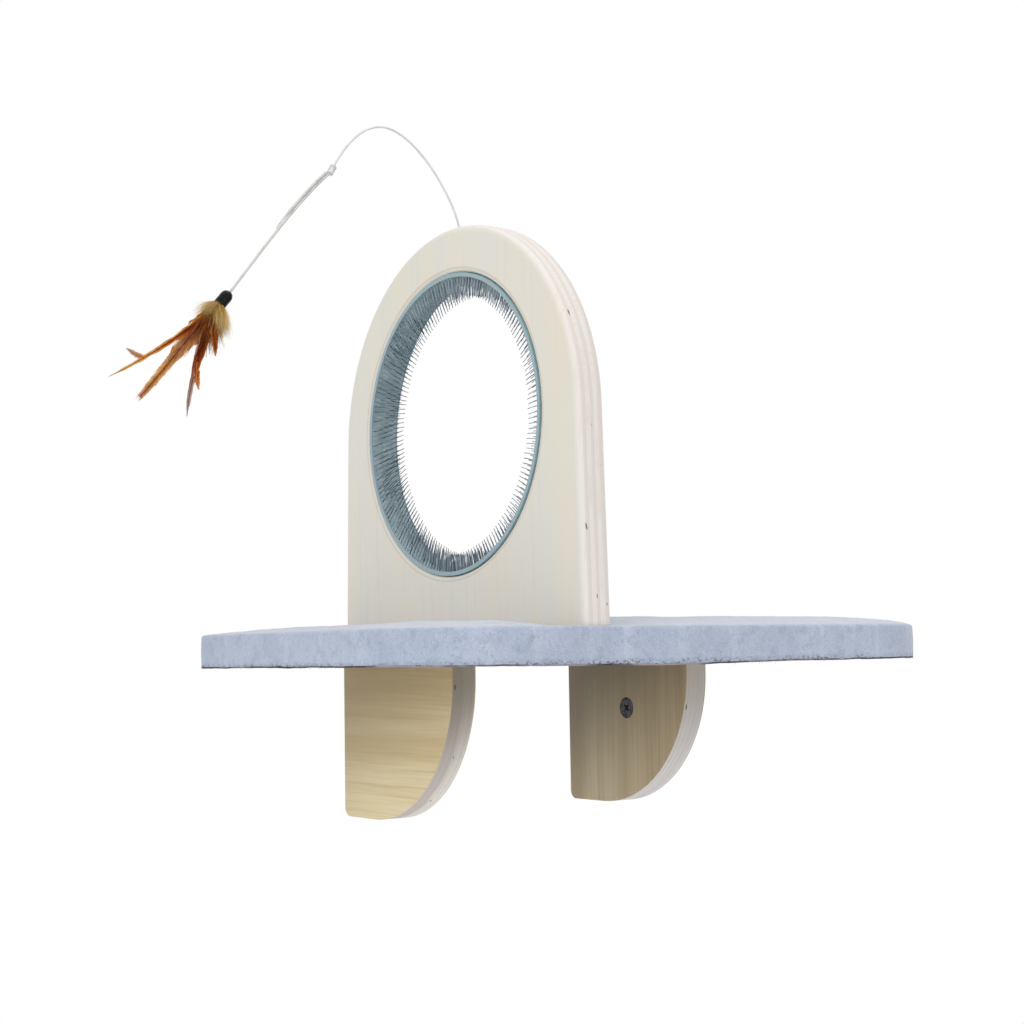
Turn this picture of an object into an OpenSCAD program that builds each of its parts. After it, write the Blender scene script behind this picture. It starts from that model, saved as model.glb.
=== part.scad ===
// Wall platform for a cat: a padded plywood deck on two brackets, with an
// upright panel whose round hole is lined with grooming bristles, and a
// feather lure on a springy wire above it.
// Millimetres, +Z up. The wall is the plane y = 0 and the deck reaches to -y.
// The origin lies on the wall, midway between the two hanger plates' entry holes.

/* [Deck] */
// Width of the plywood deck along the wall
board_w = 421; // [380:1:470]
// Depth of the plywood deck out from the wall
board_d = 265; // [262:1:300]
// Thickness of the plywood deck
board_t = 18; // [16:1:24]
// Radius of the two front corners
front_corner_r = 83.5; // [40:0.5:110]
// Radius of the two corners at the wall
rear_corner_r = 3.5; // [2:0.5:8]

/* [Pad and cover] */
// Thickness of the plush cover
cover_t = 1.3; // [0.8:0.1:2.5]
// Air between the cover and what it wraps
cover_gap = 0.2; // [0.15:0.05:0.5]
// Distance that the cover's hem hangs below the deck
hem_drop = 2; // [0.5:0.5:4]
// Height of the deck's rear edge that the cover leaves bare
bare_strip = 2; // [1:0.5:6]
// Thickness of the foam at its rim
foam_rim = 1.5; // [0.4:0.1:3]
// Height that the foam's crown rises above its rim
pad_crown = 8; // [2:0.5:14]
// Air round the upright panel in the cover's slot
slot_gap = 0.4; // [0.3:0.1:1.5]

/* [Upright panel] */
// Thickness of the panel
arch_t = 20; // [16:1:22]
// Distance from the wall to the panel's foot
arch_back = 3.5; // [3:0.5:8]
// Distance from the cover's front edge to the panel's foot
arch_front = 3; // [3:0.5:30]
// Lean of the panel's two long edges towards each other, in degrees
arch_lean = 1.5; // [0.5:0.1:3]
// Wood between the side of the round hole and the panel's round top
side_rim = 32.9; // [26:0.1:50]
// Wood left above the hole
top_rim = 29; // [26:0.5:50]
// Wood left below the hole
sill = 36; // [30:0.5:60]
// Distance that the hole lies nearer the wall than the panel's middle
hole_back = 2.25; // [0:0.25:4]
// Radius of the panel's rounded edges
edge_r = 4.5; // [1:0.5:5]
// Radius of the hole's rounded edges
mouth_r = 3; // [1:0.5:4]

/* [Brush] */
// Thickness of the band that carries the bristles
band_t = 2; // [1.2:0.1:3]
// Air between the band and the hole
band_gap = 0.15; // [0.1:0.05:0.3]
// Length of a bristle inside the band
bristle_len = 12; // [6:0.5:16]
// Radius of a bristle's three-sided section
bristle_r = 0.6; // [0.4:0.05:0.8]
// Rows of bristles across a band
row_count = 6; // [4:1:6]
// Bristles in one row of one band
row_bristles = 9; // [6:1:10]
// Gap between the ends of two bands
band_joint = 0.4; // [0.3:0.1:1]

/* [Brackets] */
// Distance between the middles of the two brackets
bracket_pitch = 192; // [150:1:230]
// Depth of a bracket out from the wall
bracket_d = 130; // [120:1:150]
// Height of a bracket below the deck
bracket_h = 101; // [95:1:120]
// Thickness of a bracket
bracket_t = 18; // [17:1:22]
// Radius of the large front curve
bracket_curve_r = 92; // [60:1:94]
// Radius of the small corner at the wall
bracket_heel_r = 6; // [2:0.5:10]

/* [Bracket fittings] */
// Distance from the deck down to a cam lock's axis
cam_drop = 34; // [30:0.5:38]
// Distance from the wall out to a cam lock's axis
cam_y = 66; // [60:1:72]
// Radius of a cam lock's hole
cam_hole_r = 7.5; // [7:0.1:8]
// Running clearance round a cam lock
cam_gap = 0.08; // [0.05:0.01:0.1]
// Length of a cam lock
cam_len = 13.9; // [13:0.1:14.5]
// Radius of a cam bolt's neck
neck_r = 1.9; // [1.5:0.1:2]
// Radius of a cam bolt's head
bolt_head_r = 3.2; // [2.8:0.1:3.3]
// Thickness of a cam bolt's head
bolt_head_t = 2; // [1.5:0.1:2.2]
// Radius of a cam bolt's shank in the bracket
shank_r = 3.4; // [3:0.1:3.5]
// Radius of a cam bolt's thread in the deck
thread_r = 2.9; // [2.5:0.1:3.2]
// Depth of a cam bolt's thread in the deck
thread_len = 11; // [8:0.5:12]
// Radius of a wooden dowel
dowel_r = 4; // [3:0.5:4]
// Length of a dowel
dowel_len = 30; // [26:1:34]
// Depth of a dowel in the deck
dowel_in_deck = 10; // [8:0.5:11]
// Distance from a cam bolt to each of its dowels
dowel_reach = 38; // [30:1:42]
// Air round each dowel and screw in its hole
drill_gap = 0.05; // [0.03:0.01:0.1]

/* [Hanger plates] */
// Distance from the deck down to a plate's entry hole
hanger_drop = 46; // [42:1:50]
// Width of a hanger plate
plate_w = 15; // [14:0.5:16]
// Thickness of a hanger plate
plate_t = 1.5; // [1.2:0.1:2]
// Height of a hanger plate
plate_h = 46; // [44:1:50]
// Radius of the entry hole for a wall screw's head
entry_r = 4.5; // [4:0.1:5]
// Half the width of the slot for a wall screw's shank
slot_r = 2.3; // [2:0.1:2.6]
// Rise of the slot above the entry hole's centre
slot_rise = 9; // [7:0.5:11]
// Depth of the pocket for a wall screw's head
head_pocket = 7; // [5:0.5:9]
// Distance between a plate's two fixing screws
plate_screw_pitch = 35; // [34:0.5:38]
// Length of a plate screw
plate_screw_len = 16; // [12:1:20]

/* [Panel screws] */
// Wood left between a screw's tip and the panel's hole
screw_cover = 4; // [3:0.5:12]
// Radius of such a screw's shank
arch_screw_r = 2.5; // [2:0.1:3.5]
// Radius of such a screw's head
arch_head_r = 5; // [4.5:0.1:6]
// Distance from a bracket's front to the middle screw
middle_screw_gap = 22; // [14:1:30]
// Distance from the panel's front edge to the front screw
front_screw_inset = 24; // [18:1:30]

/* [Lure] */
// Radius of the spring wire
wire_r = 0.8; // [0.6:0.05:1]
// Length of the wire's foot in its socket
foot_len = 14; // [10:1:18]
// Radius of the socket's barrel
socket_r = 4; // [3:0.5:5]
// Radius of the socket's collar
collar_r = 5.5; // [5.5:0.5:7]
// Height of the socket's collar above its seat
collar_h = 1.6; // [1.2:0.1:3]
// Air where the wire and the rod flex
flex_gap = 0.7; // [0.65:0.05:0.9]
// Rise of the wire's crest above the panel
crest_rise = 57.7; // [40:0.5:80]
// Distance from the panel's middle to the wire's crest
crest_reach = 55.7; // [45:0.5:70]
// Fall of the wire from its crest to the clip
clip_fall = 30; // [20:0.5:40]
// Distance from the crest to the clip
clip_reach = 35.2; // [25:0.5:45]
// Radius of the clip
clip_r = 2.2; // [2:0.1:3]
// Length of the clip
clip_len = 5.6; // [4:0.2:8]
// Length of the rod that carries the feathers
rod_len = 111; // [80:1:120]
// Slope of the rod below the horizontal
rod_slope = 50; // [40:0.5:70]
// Radius of the feathers' black cap
cap_r = 4; // [3.9:0.1:6]
// Length of the cap
cap_len = 14; // [12:0.5:20]
// Radius of the cap's rounded upper end
cap_round = 2; // [0.5:0.1:2.2]
// Length of the longest feather beyond the cap
feather_len = 77.5; // [50:0.5:100]
// Thickness of a feather's vane at its shaft
vane_t = 0.9; // [0.6:0.1:1.4]

/* [Hidden] */

eps = 0.01;
$fn = 96;
band_count = 8;

// Levels, from the hanger's entry hole up
deck_z = hanger_drop;
deck_top = deck_z + board_t;
wrap = cover_t + cover_gap;
cover_rim = deck_top + foam_rim + wrap;
deck_front = board_d + 2 * wrap;

// The upright panel stands over the left bracket
arch_w = deck_front - arch_back - arch_front;
lean = tan(arch_lean);
top_r = (arch_w / 2 - (sill + top_rim - 2 * side_rim) * lean) / (1 / cos(arch_lean) + lean);
hole_r = top_r - side_rim;
hole_h = sill + hole_r;
arch_h = hole_h + hole_r + top_rim;
arch_screw_len = board_t + sill - screw_cover;
arch_x = -bracket_pitch / 2;
arch_mid = -arch_back - arch_w / 2;
hole_y = arch_mid + hole_back;
arch_top = deck_top + arch_h;
hole_z = deck_top + hole_h;
plate_mid = slot_rise / 2;
band_outer = hole_r - band_gap;
band_inner = band_outer - band_t;

// Cam lock and its bolt, measured in the bracket's thickness
cam_z = deck_z - cam_drop;
cam_r = cam_hole_r - cam_gap;
cam_wall = 2;
cavity_r = cam_r - cam_wall;
bolt_level = cam_len - bracket_t / 2;

// The lure lies in one plane parallel to the wall, over the middle of the hole
seat_z = arch_top - 0.6;
mouth_z = seat_z + collar_h;
crest = [arch_x - crest_reach, arch_top + crest_rise];
clip_end = [crest[0] - clip_reach, crest[1] - clip_fall];
clip_dir = [-sin(30), -cos(30)];
rod_dir = [-cos(rod_slope), -sin(rod_slope)];
rod_start = clip_end + clip_dir * clip_len;
cap_start = rod_start + rod_dir * (rod_len - cap_len / 2);
feather_root = cap_start + rod_dir * cap_len;

// Turns x, y, z into the panel's own plane: thickness, depth, height
module across_panel() {
    rotate([90, 0, 90]) children();
}

// Rectangle with round corners, centred
module round_rect(w, h, r) {
    square([w - 2 * r, h], center = true);
    square([w, h - 2 * r], center = true);
    for (x = [-1, 1], y = [-1, 1]) {
        translate([x * (w / 2 - r), y * (h / 2 - r)]) circle(r);
    }
}

// Plan of the deck: large radii in front, small ones at the wall
module deck_outline() {
    f = front_corner_r;
    r = rear_corner_r;
    translate([-board_w / 2, -board_d + f]) square([board_w, board_d - f - r]);
    translate([-board_w / 2 + f, -board_d]) square([board_w - 2 * f, f + 1]);
    translate([-board_w / 2 + r, -r - 1]) square([board_w - 2 * r, r + 1]);
    for (side = [-1, 1]) {
        translate([side * (board_w / 2 - f), -board_d + f]) circle(f);
        translate([side * (board_w / 2 - r), -r]) circle(r);
    }
}

// Distances from the wall to the screws under the upright panel
function panel_screws() = [
    cam_y - dowel_reach / 2,
    bracket_d + middle_screw_gap,
    arch_back + arch_w - front_screw_inset
];

// Distances from the wall to the dowels of a bracket
function dowel_places() = [cam_y - dowel_reach, cam_y + dowel_reach];

module deck_board() {
    color("burlywood")
    difference() {
        translate([0, -wrap, deck_z]) linear_extrude(board_t) deck_outline();
        for (side = [-1, 1]) {
            translate([side * bracket_pitch / 2, -cam_y, deck_z - 1])
                cylinder(h = thread_len + 1.5, r = thread_r + drill_gap);
            for (y = dowel_places()) {
                translate([side * bracket_pitch / 2, -y, deck_z - 1])
                    cylinder(h = dowel_in_deck + 1.5, r = dowel_r + drill_gap);
            }
        }
        for (y = panel_screws()) {
            translate([arch_x, -y, deck_z]) {
                translate([0, 0, -1]) cylinder(h = board_t + 2, r = arch_screw_r + drill_gap);
                translate([0, 0, -eps])
                    cylinder(h = arch_head_r + eps, r1 = arch_head_r + drill_gap + eps, r2 = drill_gap);
            }
        }
    }
}

// Points round a plan like the deck's, each with its outward normal: [x, y, nx, ny]
function plan_points(w, d, f, r, nf = 6, nc = 18, ns = 4, nr = 4) = concat(
    [for (i = [0:nf - 1]) [-w / 2 + f + (w - 2 * f) * i / nf, -d, 0, -1]],
    arc_points(w / 2 - f, -d + f, f, -90, nc),
    [for (i = [0:ns - 1]) [w / 2, -d + f + (d - f - r) * i / ns, 1, 0]],
    arc_points(w / 2 - r, -r, r, 0, nr),
    [for (i = [0:nf - 1]) [w / 2 - r - (w - 2 * r) * i / nf, 0, 0, 1]],
    arc_points(-w / 2 + r, -r, r, 90, nr),
    [for (i = [0:ns - 1]) [-w / 2, -r - (d - f - r) * i / ns, -1, 0]],
    arc_points(-w / 2 + f, -d + f, f, 180, nc)
);

function arc_points(cx, cy, r, start, n) = [
    for (i = [0:n - 1])
        let (a = start + 90 * i / n)
        [cx + r * cos(a), cy + r * sin(a), cos(a), sin(a)]
];

// One level of the pad: the plan drawn in by an inset and scaled about its
// middle, with corners that grow rounder as it shrinks
function pad_ring(plan, mid, inset, scale, z) = [
    for (p = plan)
        let (
            x = p[0] - p[2] * inset,
            y = p[1] - p[3] * inset - mid,
            round_share = min(1, 1 / norm([2 * x / board_w, 2 * y / board_d])),
            s = scale * (scale + (1 - scale) * round_share)
        )
        [x * s, mid + y * s, z]
];

// Height of the crown where the plan has shrunk to a share of its size
function crown(scale) = pad_crown * (1 - pow(scale, 4));

crown_steps = [0.975, 0.93, 0.85, 0.72, 0.52, 0.27];

// Closed skin over a list of rings, each with the same number of points,
// ended by a point or by its own middle
module skin(rings, first, last) {
    n = len(rings[0]);
    m = len(rings);
    points = concat([first], [for (ring = rings, p = ring) p], [last]);
    faces = concat(
        [for (i = [0:n - 1]) [0, 1 + i, 1 + (i + 1) % n]],
        [for (k = [0:m - 2], i = [0:n - 1], half = [0, 1])
            let (a = 1 + k * n + i, b = 1 + k * n + (i + 1) % n)
            half == 0 ? [a, a + n, b] : [b, a + n, b + n]],
        [for (i = [0:n - 1]) [1 + (m - 1) * n + (i + 1) % n, 1 + (m - 1) * n + i, 1 + m * n]]
    );
    polyhedron(points = points, faces = faces, convexity = 4);
}

// Slot for the upright panel's foot, over a length from the wall outwards
module panel_slot(length) {
    translate([arch_x, arch_mid, deck_top])
        cube([arch_t + 2 * slot_gap, length, 2 * (pad_crown + wrap + foam_rim) + 2], center = true);
}

// The foam lies in two pieces, one on each side of the upright panel
module foam_pad() {
    mid = -board_d / 2;
    plan = plan_points(board_w, board_d, front_corner_r, rear_corner_r);
    color("ivory")
    difference() {
        translate([0, -wrap, 0])
            skin(concat(
                [pad_ring(plan, mid, 0.6, 1, deck_top)],
                [pad_ring(plan, mid, 0.6, 1, deck_top + foam_rim)],
                [for (s = crown_steps) pad_ring(plan, mid, 0.6, s, deck_top + foam_rim + crown(s))]),
                [0, mid, deck_top],
                [0, mid, deck_top + foam_rim + crown(0)]);
        panel_slot(2 * board_d);
    }
}

// The hem's outline: low at the front and the sides, and above the brackets
// along the wall
function hem_ring(plan, inset) = [
    for (p = plan)
        let (at_wall = p[3] > 0.99 && abs(p[0]) < board_w / 2 - 30)
        [p[0] - p[2] * inset, p[1] - p[3] * inset, deck_z + (at_wall ? bare_strip : -hem_drop)]
];

module plush_cover() {
    outer = plan_points(board_w + 2 * wrap, deck_front, front_corner_r + wrap, rear_corner_r + wrap);
    mid = -deck_front / 2;
    color("lightsteelblue")
    difference() {
        skin(concat(
            [for (i = [len(crown_steps) - 1:-1:0])
                pad_ring(outer, mid, cover_t, crown_steps[i], cover_rim - cover_t + crown(crown_steps[i]))],
            [pad_ring(outer, mid, cover_t, 1, cover_rim - cover_t)],
            [hem_ring(outer, cover_t)],
            [hem_ring(outer, 0)],
            [pad_ring(outer, mid, 0, 1, cover_rim - 1.2)],
            [pad_ring(outer, mid, 0.5, 1, cover_rim - 0.3)],
            [pad_ring(outer, mid, 1.6, 1, cover_rim)],
            [for (s = crown_steps) pad_ring(outer, mid, cover_t, s, cover_rim + crown(s))]),
            [0, mid, cover_rim - cover_t + crown(0)],
            [0, mid, cover_rim + crown(0)]);
        panel_slot(arch_w + 2 * slot_gap);
    }
}

// Half section of a round-edged disc, to be turned about its axis
module disc_profile(r, t, e) {
    translate([0, -t / 2]) square([r - e, t]);
    translate([0, -t / 2 + e]) square([r, t - 2 * e]);
    for (side = [-1, 1]) translate([r - e, side * (t / 2 - e)]) circle(e);
}

// Cutter for a hole with rounded mouths
module hole_profile(r, t, e) {
    translate([0, -t / 2 - 1]) square([r, t + 2]);
    for (side = [0, 1]) mirror([0, side]) difference() {
        translate([r - eps, t / 2 - e]) square([e + eps, e + 1]);
        translate([r + e, t / 2 - e]) circle(e);
    }
}

// Half of the panel, on the wall's side of its middle: round top, leaning edge
// and core, made a little too thick and then cut to the two faces and the foot
module panel_half() {
    skim = 0.01;
    t = arch_t + 2 * skim;
    edge_w = 40;
    drop = arch_h - top_r + 12;
    intersection() {
        union() {
            translate([0, 0, arch_h - top_r]) {
                across_panel() rotate([0, 0, arch_lean]) rotate_extrude(angle = 95) disc_profile(top_r, t, edge_r);
                rotate([arch_lean, 0, 0]) translate([0, top_r - edge_w / 2, -drop])
                    linear_extrude(drop) round_rect(t, edge_w, edge_r);
            }
            translate([-t / 2 - skim, -1, 0]) cube([t + 2 * skim, top_r - edge_w / 2, arch_h - top_r + 6]);
        }
        translate([-arch_t / 2, 0, 0]) cube([arch_t, arch_w, 2 * arch_h]);
    }
}

module arch_panel() {
    color("wheat")
    translate([arch_x, arch_mid, deck_top])
    difference() {
        union() {
            panel_half();
            mirror([0, 1, 0]) panel_half();
        }
        translate([0, hole_back, hole_h]) across_panel() rotate_extrude() hole_profile(hole_r, arch_t, mouth_r);
        for (y = panel_screws()) {
            translate([0, -y - arch_mid, -1])
                cylinder(h = arch_screw_len - board_t + 2, r = arch_screw_r + drill_gap);
        }
        translate([0, hole_back, seat_z - deck_top]) {
            translate([0, 0, -foot_len - 2]) cylinder(h = foot_len + 4, r = socket_r + drill_gap);
            cylinder(h = 4, r = collar_r + 0.3);
        }
    }
}

// Countersunk screw along +Z: flat head at the bottom, blunt tip at the top
module screw(head_r, r, length) {
    cylinder(h = head_r - r, r1 = head_r, r2 = r);
    translate([0, 0, head_r - r]) cylinder(h = length - head_r, r = r);
    translate([0, 0, length - r - eps]) cylinder(h = r, r1 = r, r2 = r * 0.35);
}

module arch_screws() {
    color("silver")
    for (y = panel_screws()) {
        translate([arch_x, -y, deck_z]) difference() {
            screw(arch_head_r, arch_screw_r, arch_screw_len);
            translate([0, 0, -eps]) cylinder(h = 3, r = 2.3, $fn = 6);
        }
    }
}

// One band of the round brush: an arc of backing with its bristles
module brush_band(index) {
    step = 360 / band_count;
    joint_angle = band_joint / band_inner * 180 / PI;
    row_step = (arch_t - 3) / (row_count - 1);
    bristle_step = step / row_bristles;
    color("cadetblue")
    translate([arch_x, hole_y, hole_z]) across_panel()
    rotate([0, 0, step * (index - 1)])
    union() {
        rotate([0, 0, joint_angle / 2]) rotate_extrude(angle = step - joint_angle)
            translate([band_inner, -arch_t / 2]) square([band_t, arch_t]);
        for (row = [0:row_count - 1], i = [0:row_bristles - 1]) {
            shift = row % 2 == 0 ? 0.28 : 0.72;
            rotate([0, 0, (i + shift) * bristle_step])
                translate([band_inner + band_t / 2, 0, row_step * (row - (row_count - 1) / 2)])
                rotate([0, -90, 0]) cylinder(h = bristle_len + band_t / 2, r = bristle_r, $fn = 3);
        }
    }
}

// Side view of a bracket: straight at the deck and the wall, one large curve
module bracket_outline() {
    r = bracket_curve_r;
    h = bracket_heel_r;
    translate([-bracket_d, -bracket_h + r]) square([bracket_d, bracket_h - r]);
    translate([-bracket_d + r, -bracket_h + h]) square([bracket_d - r, bracket_h - h]);
    translate([-bracket_d + r, -bracket_h]) square([bracket_d - r - h, h + 1]);
    intersection() {
        translate([-bracket_d + r, -bracket_h + r]) circle(r);
        translate([-bracket_d, -bracket_h]) square([r + eps, r + eps]);
    }
    translate([-h, -bracket_h + h]) circle(h);
}

// A bracket seen from its fittings' side, which faces +X, its middle at x = 0
module bracket() {
    difference() {
        translate([-bracket_t / 2, 0, deck_z]) across_panel() linear_extrude(bracket_t) bracket_outline();
        // Cam lock's hole, from the inner face
        translate([bracket_t / 2 - cam_len - 0.2, -cam_y, cam_z]) rotate([0, 90, 0])
            cylinder(h = cam_len + 1, r = cam_hole_r);
        // Cam bolt's hole, from the top edge
        translate([0, -cam_y, cam_z]) cylinder(h = cam_drop + 1, r = shank_r + drill_gap + 0.1);
        for (y = dowel_places()) {
            translate([0, -y, deck_z - dowel_len + dowel_in_deck - 0.5])
                cylinder(h = dowel_len, r = dowel_r + drill_gap);
        }
        // Pocket for the hanger plate, and the deeper one for a wall screw's head
        plate_pocket(plate_t + 0.05, plate_w + 0.3, plate_h + 0.3);
        translate([-entry_r - 0.5, -head_pocket - plate_t, -entry_r - 0.5])
            cube([2 * entry_r + 1, head_pocket + 1, slot_rise + 2 * entry_r + 1]);
        for (z = plate_screw_places()) {
            translate([0, 1, z]) rotate([90, 0, 0]) cylinder(h = plate_screw_len + 1.5, r = 1.5 + drill_gap);
        }
    }
}

// Heights of a hanger plate's two fixing screws
function plate_screw_places() = [plate_mid - plate_screw_pitch / 2, plate_mid + plate_screw_pitch / 2];

module plate_pocket(depth, w, h) {
    translate([0, 1, plate_mid]) rotate([90, 0, 0]) linear_extrude(depth + 1) round_rect(w, h, 3);
}

module bracket_left() {
    color("khaki") translate([-bracket_pitch / 2, 0, 0]) bracket();
}

module bracket_right() {
    color("darkkhaki") translate([bracket_pitch / 2, 0, 0]) mirror([1, 0, 0]) bracket();
}

module bracket_dowels() {
    color("peru")
    for (side = [-1, 1], y = dowel_places()) {
        translate([side * bracket_pitch / 2, -y, deck_z - dowel_len + dowel_in_deck]) {
            translate([0, 0, 1]) cylinder(h = dowel_len - 2, r = dowel_r);
            cylinder(h = 1, r1 = dowel_r - 1, r2 = dowel_r);
            translate([0, 0, dowel_len - 1]) cylinder(h = 1, r1 = dowel_r, r2 = dowel_r - 1);
        }
    }
}

// A bolt that hangs from the deck: thread above, collar, shank, neck and head
module cam_bolts() {
    head_z = cam_z + 1.4;
    neck_top = cam_z + cam_r + 0.6;
    color("silver")
    for (side = [-1, 1]) {
        translate([side * bracket_pitch / 2, -cam_y, 0]) {
            translate([0, 0, deck_z - eps]) cylinder(h = thread_len, r = thread_r);
            translate([0, 0, neck_top]) cylinder(h = deck_z - neck_top, r = shank_r);
            translate([0, 0, head_z]) cylinder(h = neck_top - head_z + eps, r = neck_r);
            translate([0, 0, head_z]) cylinder(h = bolt_head_t, r = bolt_head_r);
        }
    }
}

// A cam lock about the Z axis, its driven face at the top. The bolt's neck
// rides in a curved groove that ends in a wider mouth, where the head goes in.
module cam_lock() {
    difference() {
        cylinder(h = cam_len, r = cam_r);
        translate([0, 0, bolt_level - bolt_head_r - 0.3])
            cylinder(h = 2 * (bolt_head_r + 0.3), r = cavity_r);
        rotate([0, 0, 60]) rotate_extrude(angle = 240)
            translate([cavity_r - 0.2, bolt_level - neck_r - 0.25]) square([cam_wall + 1, 2 * neck_r + 0.5]);
        rotate([0, 0, 270]) translate([0, 0, bolt_level]) rotate([0, 90, 0])
            cylinder(h = cam_r + 1, r = bolt_head_r + 0.25);
        // Cross recess for the driver
        for (a = [45, 135]) {
            rotate([0, 0, a]) translate([-3.1, -0.6, cam_len - 2.2]) cube([6.2, 1.2, 3]);
        }
        // Arrow notch at the rim that shows where the bolt is
        translate([0, cam_r - 1.2, cam_len - 0.5]) cylinder(h = 1, r = 0.9, $fn = 48);
    }
}

module cam_lock_left() {
    color("dimgray")
    translate([-bracket_pitch / 2 + bracket_t / 2 - cam_len, -cam_y, cam_z]) across_panel() cam_lock();
}

module cam_lock_right() {
    color("dimgray")
    translate([bracket_pitch / 2 - bracket_t / 2 + cam_len, -cam_y, cam_z])
        rotate([0, 0, 180]) across_panel() cam_lock();
}

// A stamped plate with a keyhole, let into a bracket's rear edge
module hanger_plate(side) {
    translate([side * bracket_pitch / 2, 0, 0]) difference() {
        translate([0, 0, plate_mid]) rotate([90, 0, 0]) linear_extrude(plate_t) round_rect(plate_w, plate_h, 3);
        translate([0, 1, 0]) rotate([90, 0, 0]) cylinder(h = plate_t + 2, r = entry_r);
        translate([0, 1, slot_rise]) rotate([90, 0, 0]) cylinder(h = plate_t + 2, r = slot_r);
        translate([-slot_r, -plate_t - 1, 0]) cube([2 * slot_r, plate_t + 2, slot_rise]);
        for (z = plate_screw_places()) {
            translate([0, 1, z]) rotate([90, 0, 0]) cylinder(h = plate_t + 2, r = 1.5 + drill_gap);
            translate([0, eps, z]) rotate([90, 0, 0])
                cylinder(h = 1.3 + eps, r1 = 2.8 + drill_gap + eps, r2 = 1.5 + drill_gap);
        }
    }
}

module hanger_plate_left() {
    color("gainsboro") hanger_plate(-1);
}

module hanger_plate_right() {
    color("gainsboro") hanger_plate(1);
}

module hanger_screws() {
    color("silver")
    for (side = [-1, 1], z = plate_screw_places()) {
        translate([side * bracket_pitch / 2, 0, z]) rotate([90, 0, 0]) difference() {
            screw(2.8, 1.5, plate_screw_len);
            for (a = [0, 90]) rotate([0, 0, a]) translate([-1.4, -0.35, -eps]) cube([2.8, 0.7, 1]);
        }
    }
}

// Socket that holds the wire's foot, sunk into the top of the panel
module wire_socket() {
    color("white")
    translate([arch_x, hole_y, seat_z]) difference() {
        union() {
            translate([0, 0, -foot_len - 1]) cylinder(h = foot_len + 1, r = socket_r);
            rotate_extrude() {
                square([collar_r - 1, collar_h]);
                square([collar_r, collar_h - 1]);
                translate([collar_r - 1, collar_h - 1]) intersection() {
                    circle(1);
                    square(1);
                }
            }
        }
        translate([0, 0, collar_h - foot_len]) cylinder(h = foot_len + 1, r = wire_r + drill_gap);
    }
}

// The foot of the spring wire, fast in the socket
module wire_foot() {
    color("gainsboro")
    translate([arch_x, hole_y, mouth_z - foot_len]) cylinder(h = foot_len, r = wire_r);
}

// Point at a share t of a curve drawn by four control points
function bezier(p, t) = pow(1 - t, 3) * p[0] + 3 * t * pow(1 - t, 2) * p[1]
    + 3 * t * t * (1 - t) * p[2] + pow(t, 3) * p[3];

function unit(v) = v / norm(v);

// Direction along a route at one of its points
function heading(route, i) = unit(route[min(i + 1, len(route) - 1)] - route[max(i - 1, 0)]);

// Round or flat section swept along a route: half_w across, half_t thick,
// with the thickness turned towards a given side
function sweep_rings(route, side, half_w, half_t, n) = [
    for (i = [0:len(route) - 1])
        let (t = heading(route, i), across = unit(cross(t, side)), thick = unit(cross(across, t)))
        [for (k = [0:n - 1])
            route[i] + across * half_w[i] * cos(360 * k / n) + thick * half_t[i] * sin(360 * k / n)]
];

module tube(route, r) {
    size = [for (p = route) r];
    skin(sweep_rings(route, [0, 1, 0], size, size, 8), route[0], route[len(route) - 1]);
}

// A point of the lure's plane, given by x and z
function in_plane(p) = [p[0], hole_y, p[1]];

wire_start = [arch_x, mouth_z + flex_gap];
rise_curve = [wire_start, wire_start + [-3, (crest[1] - wire_start[1]) * 0.31],
    crest + [crest_reach * 0.44, 1.3], crest];
fall_curve = [crest, crest + [-clip_reach * 0.41, -0.8],
    clip_end - clip_dir * clip_fall * 0.6, clip_end];

module spring_wire() {
    route = concat(
        [for (i = [0:17]) in_plane(bezier(rise_curve, i / 18))],
        [for (i = [0:12]) in_plane(bezier(fall_curve, i / 12))]
    );
    color("gainsboro") tube(route, wire_r);
}

// Crimped sleeve that ends the spring wire and carries the rod
module wire_clip() {
    color("lightgray")
    translate(in_plane(clip_end)) rotate([0, atan2(clip_dir[0], clip_dir[1]), 0]) {
        translate([0, 0, eps]) difference() {
            clip_sleeve();
            translate([0, 0, clip_len / 2]) rotate([90, 0, 0]) translate([0, 0, clip_r - 0.5])
                cylinder(h = 2, r = 1);
        }
    }
}

module clip_sleeve() {
    rotate_extrude() {
        square([clip_r - 0.5, clip_len]);
        translate([0, 0.5]) square([clip_r, clip_len - 1]);
        for (z = [0.5, clip_len - 0.5]) translate([clip_r - 0.5, z]) circle(0.5);
    }
}

// The rod bends a little on its way down and runs straight into the cap; its
// doubled upper part is the folded end of the same wire
rod_side = [rod_dir[1], -rod_dir[0]];
rod_steps = 12;

function rod_bow(t) = 2.2 * sin(180 * pow(min(t * rod_steps / (rod_steps - 1), 1), 0.7));

function rod_point(t) = rod_start + rod_dir * (rod_len * t) + rod_side * rod_bow(t);

module teaser_rod() {
    main = [for (i = [0:rod_steps]) in_plane(rod_point(i == 0 ? flex_gap / rod_len : i / rod_steps))];
    tail = [for (i = [0:6]) in_plane(rod_point(0.03 + 0.42 * i / 6) + rod_side * (2 * wire_r + 0.15))];
    color("white") {
        tube(main, wire_r);
        tube(tail, wire_r);
    }
}

// Turns +Z to the rod's own direction, at the cap's upper end
module at_cap() {
    translate(in_plane(cap_start)) rotate([0, atan2(rod_dir[0], rod_dir[1]), 0]) children();
}

module feather_cap() {
    color("black")
    at_cap() difference() {
        rotate_extrude() {
            translate([0, cap_round]) square([cap_r, cap_len - cap_round]);
            square([cap_r - cap_round, cap_round + eps]);
            translate([cap_r - cap_round, cap_round]) circle(cap_round);
        }
        translate([0, 0, -1]) cylinder(h = cap_len, r = wire_r + drill_gap);
        translate([0, 0, 4]) cylinder(h = cap_len, r = cap_r - 0.9);
    }
}

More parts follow.
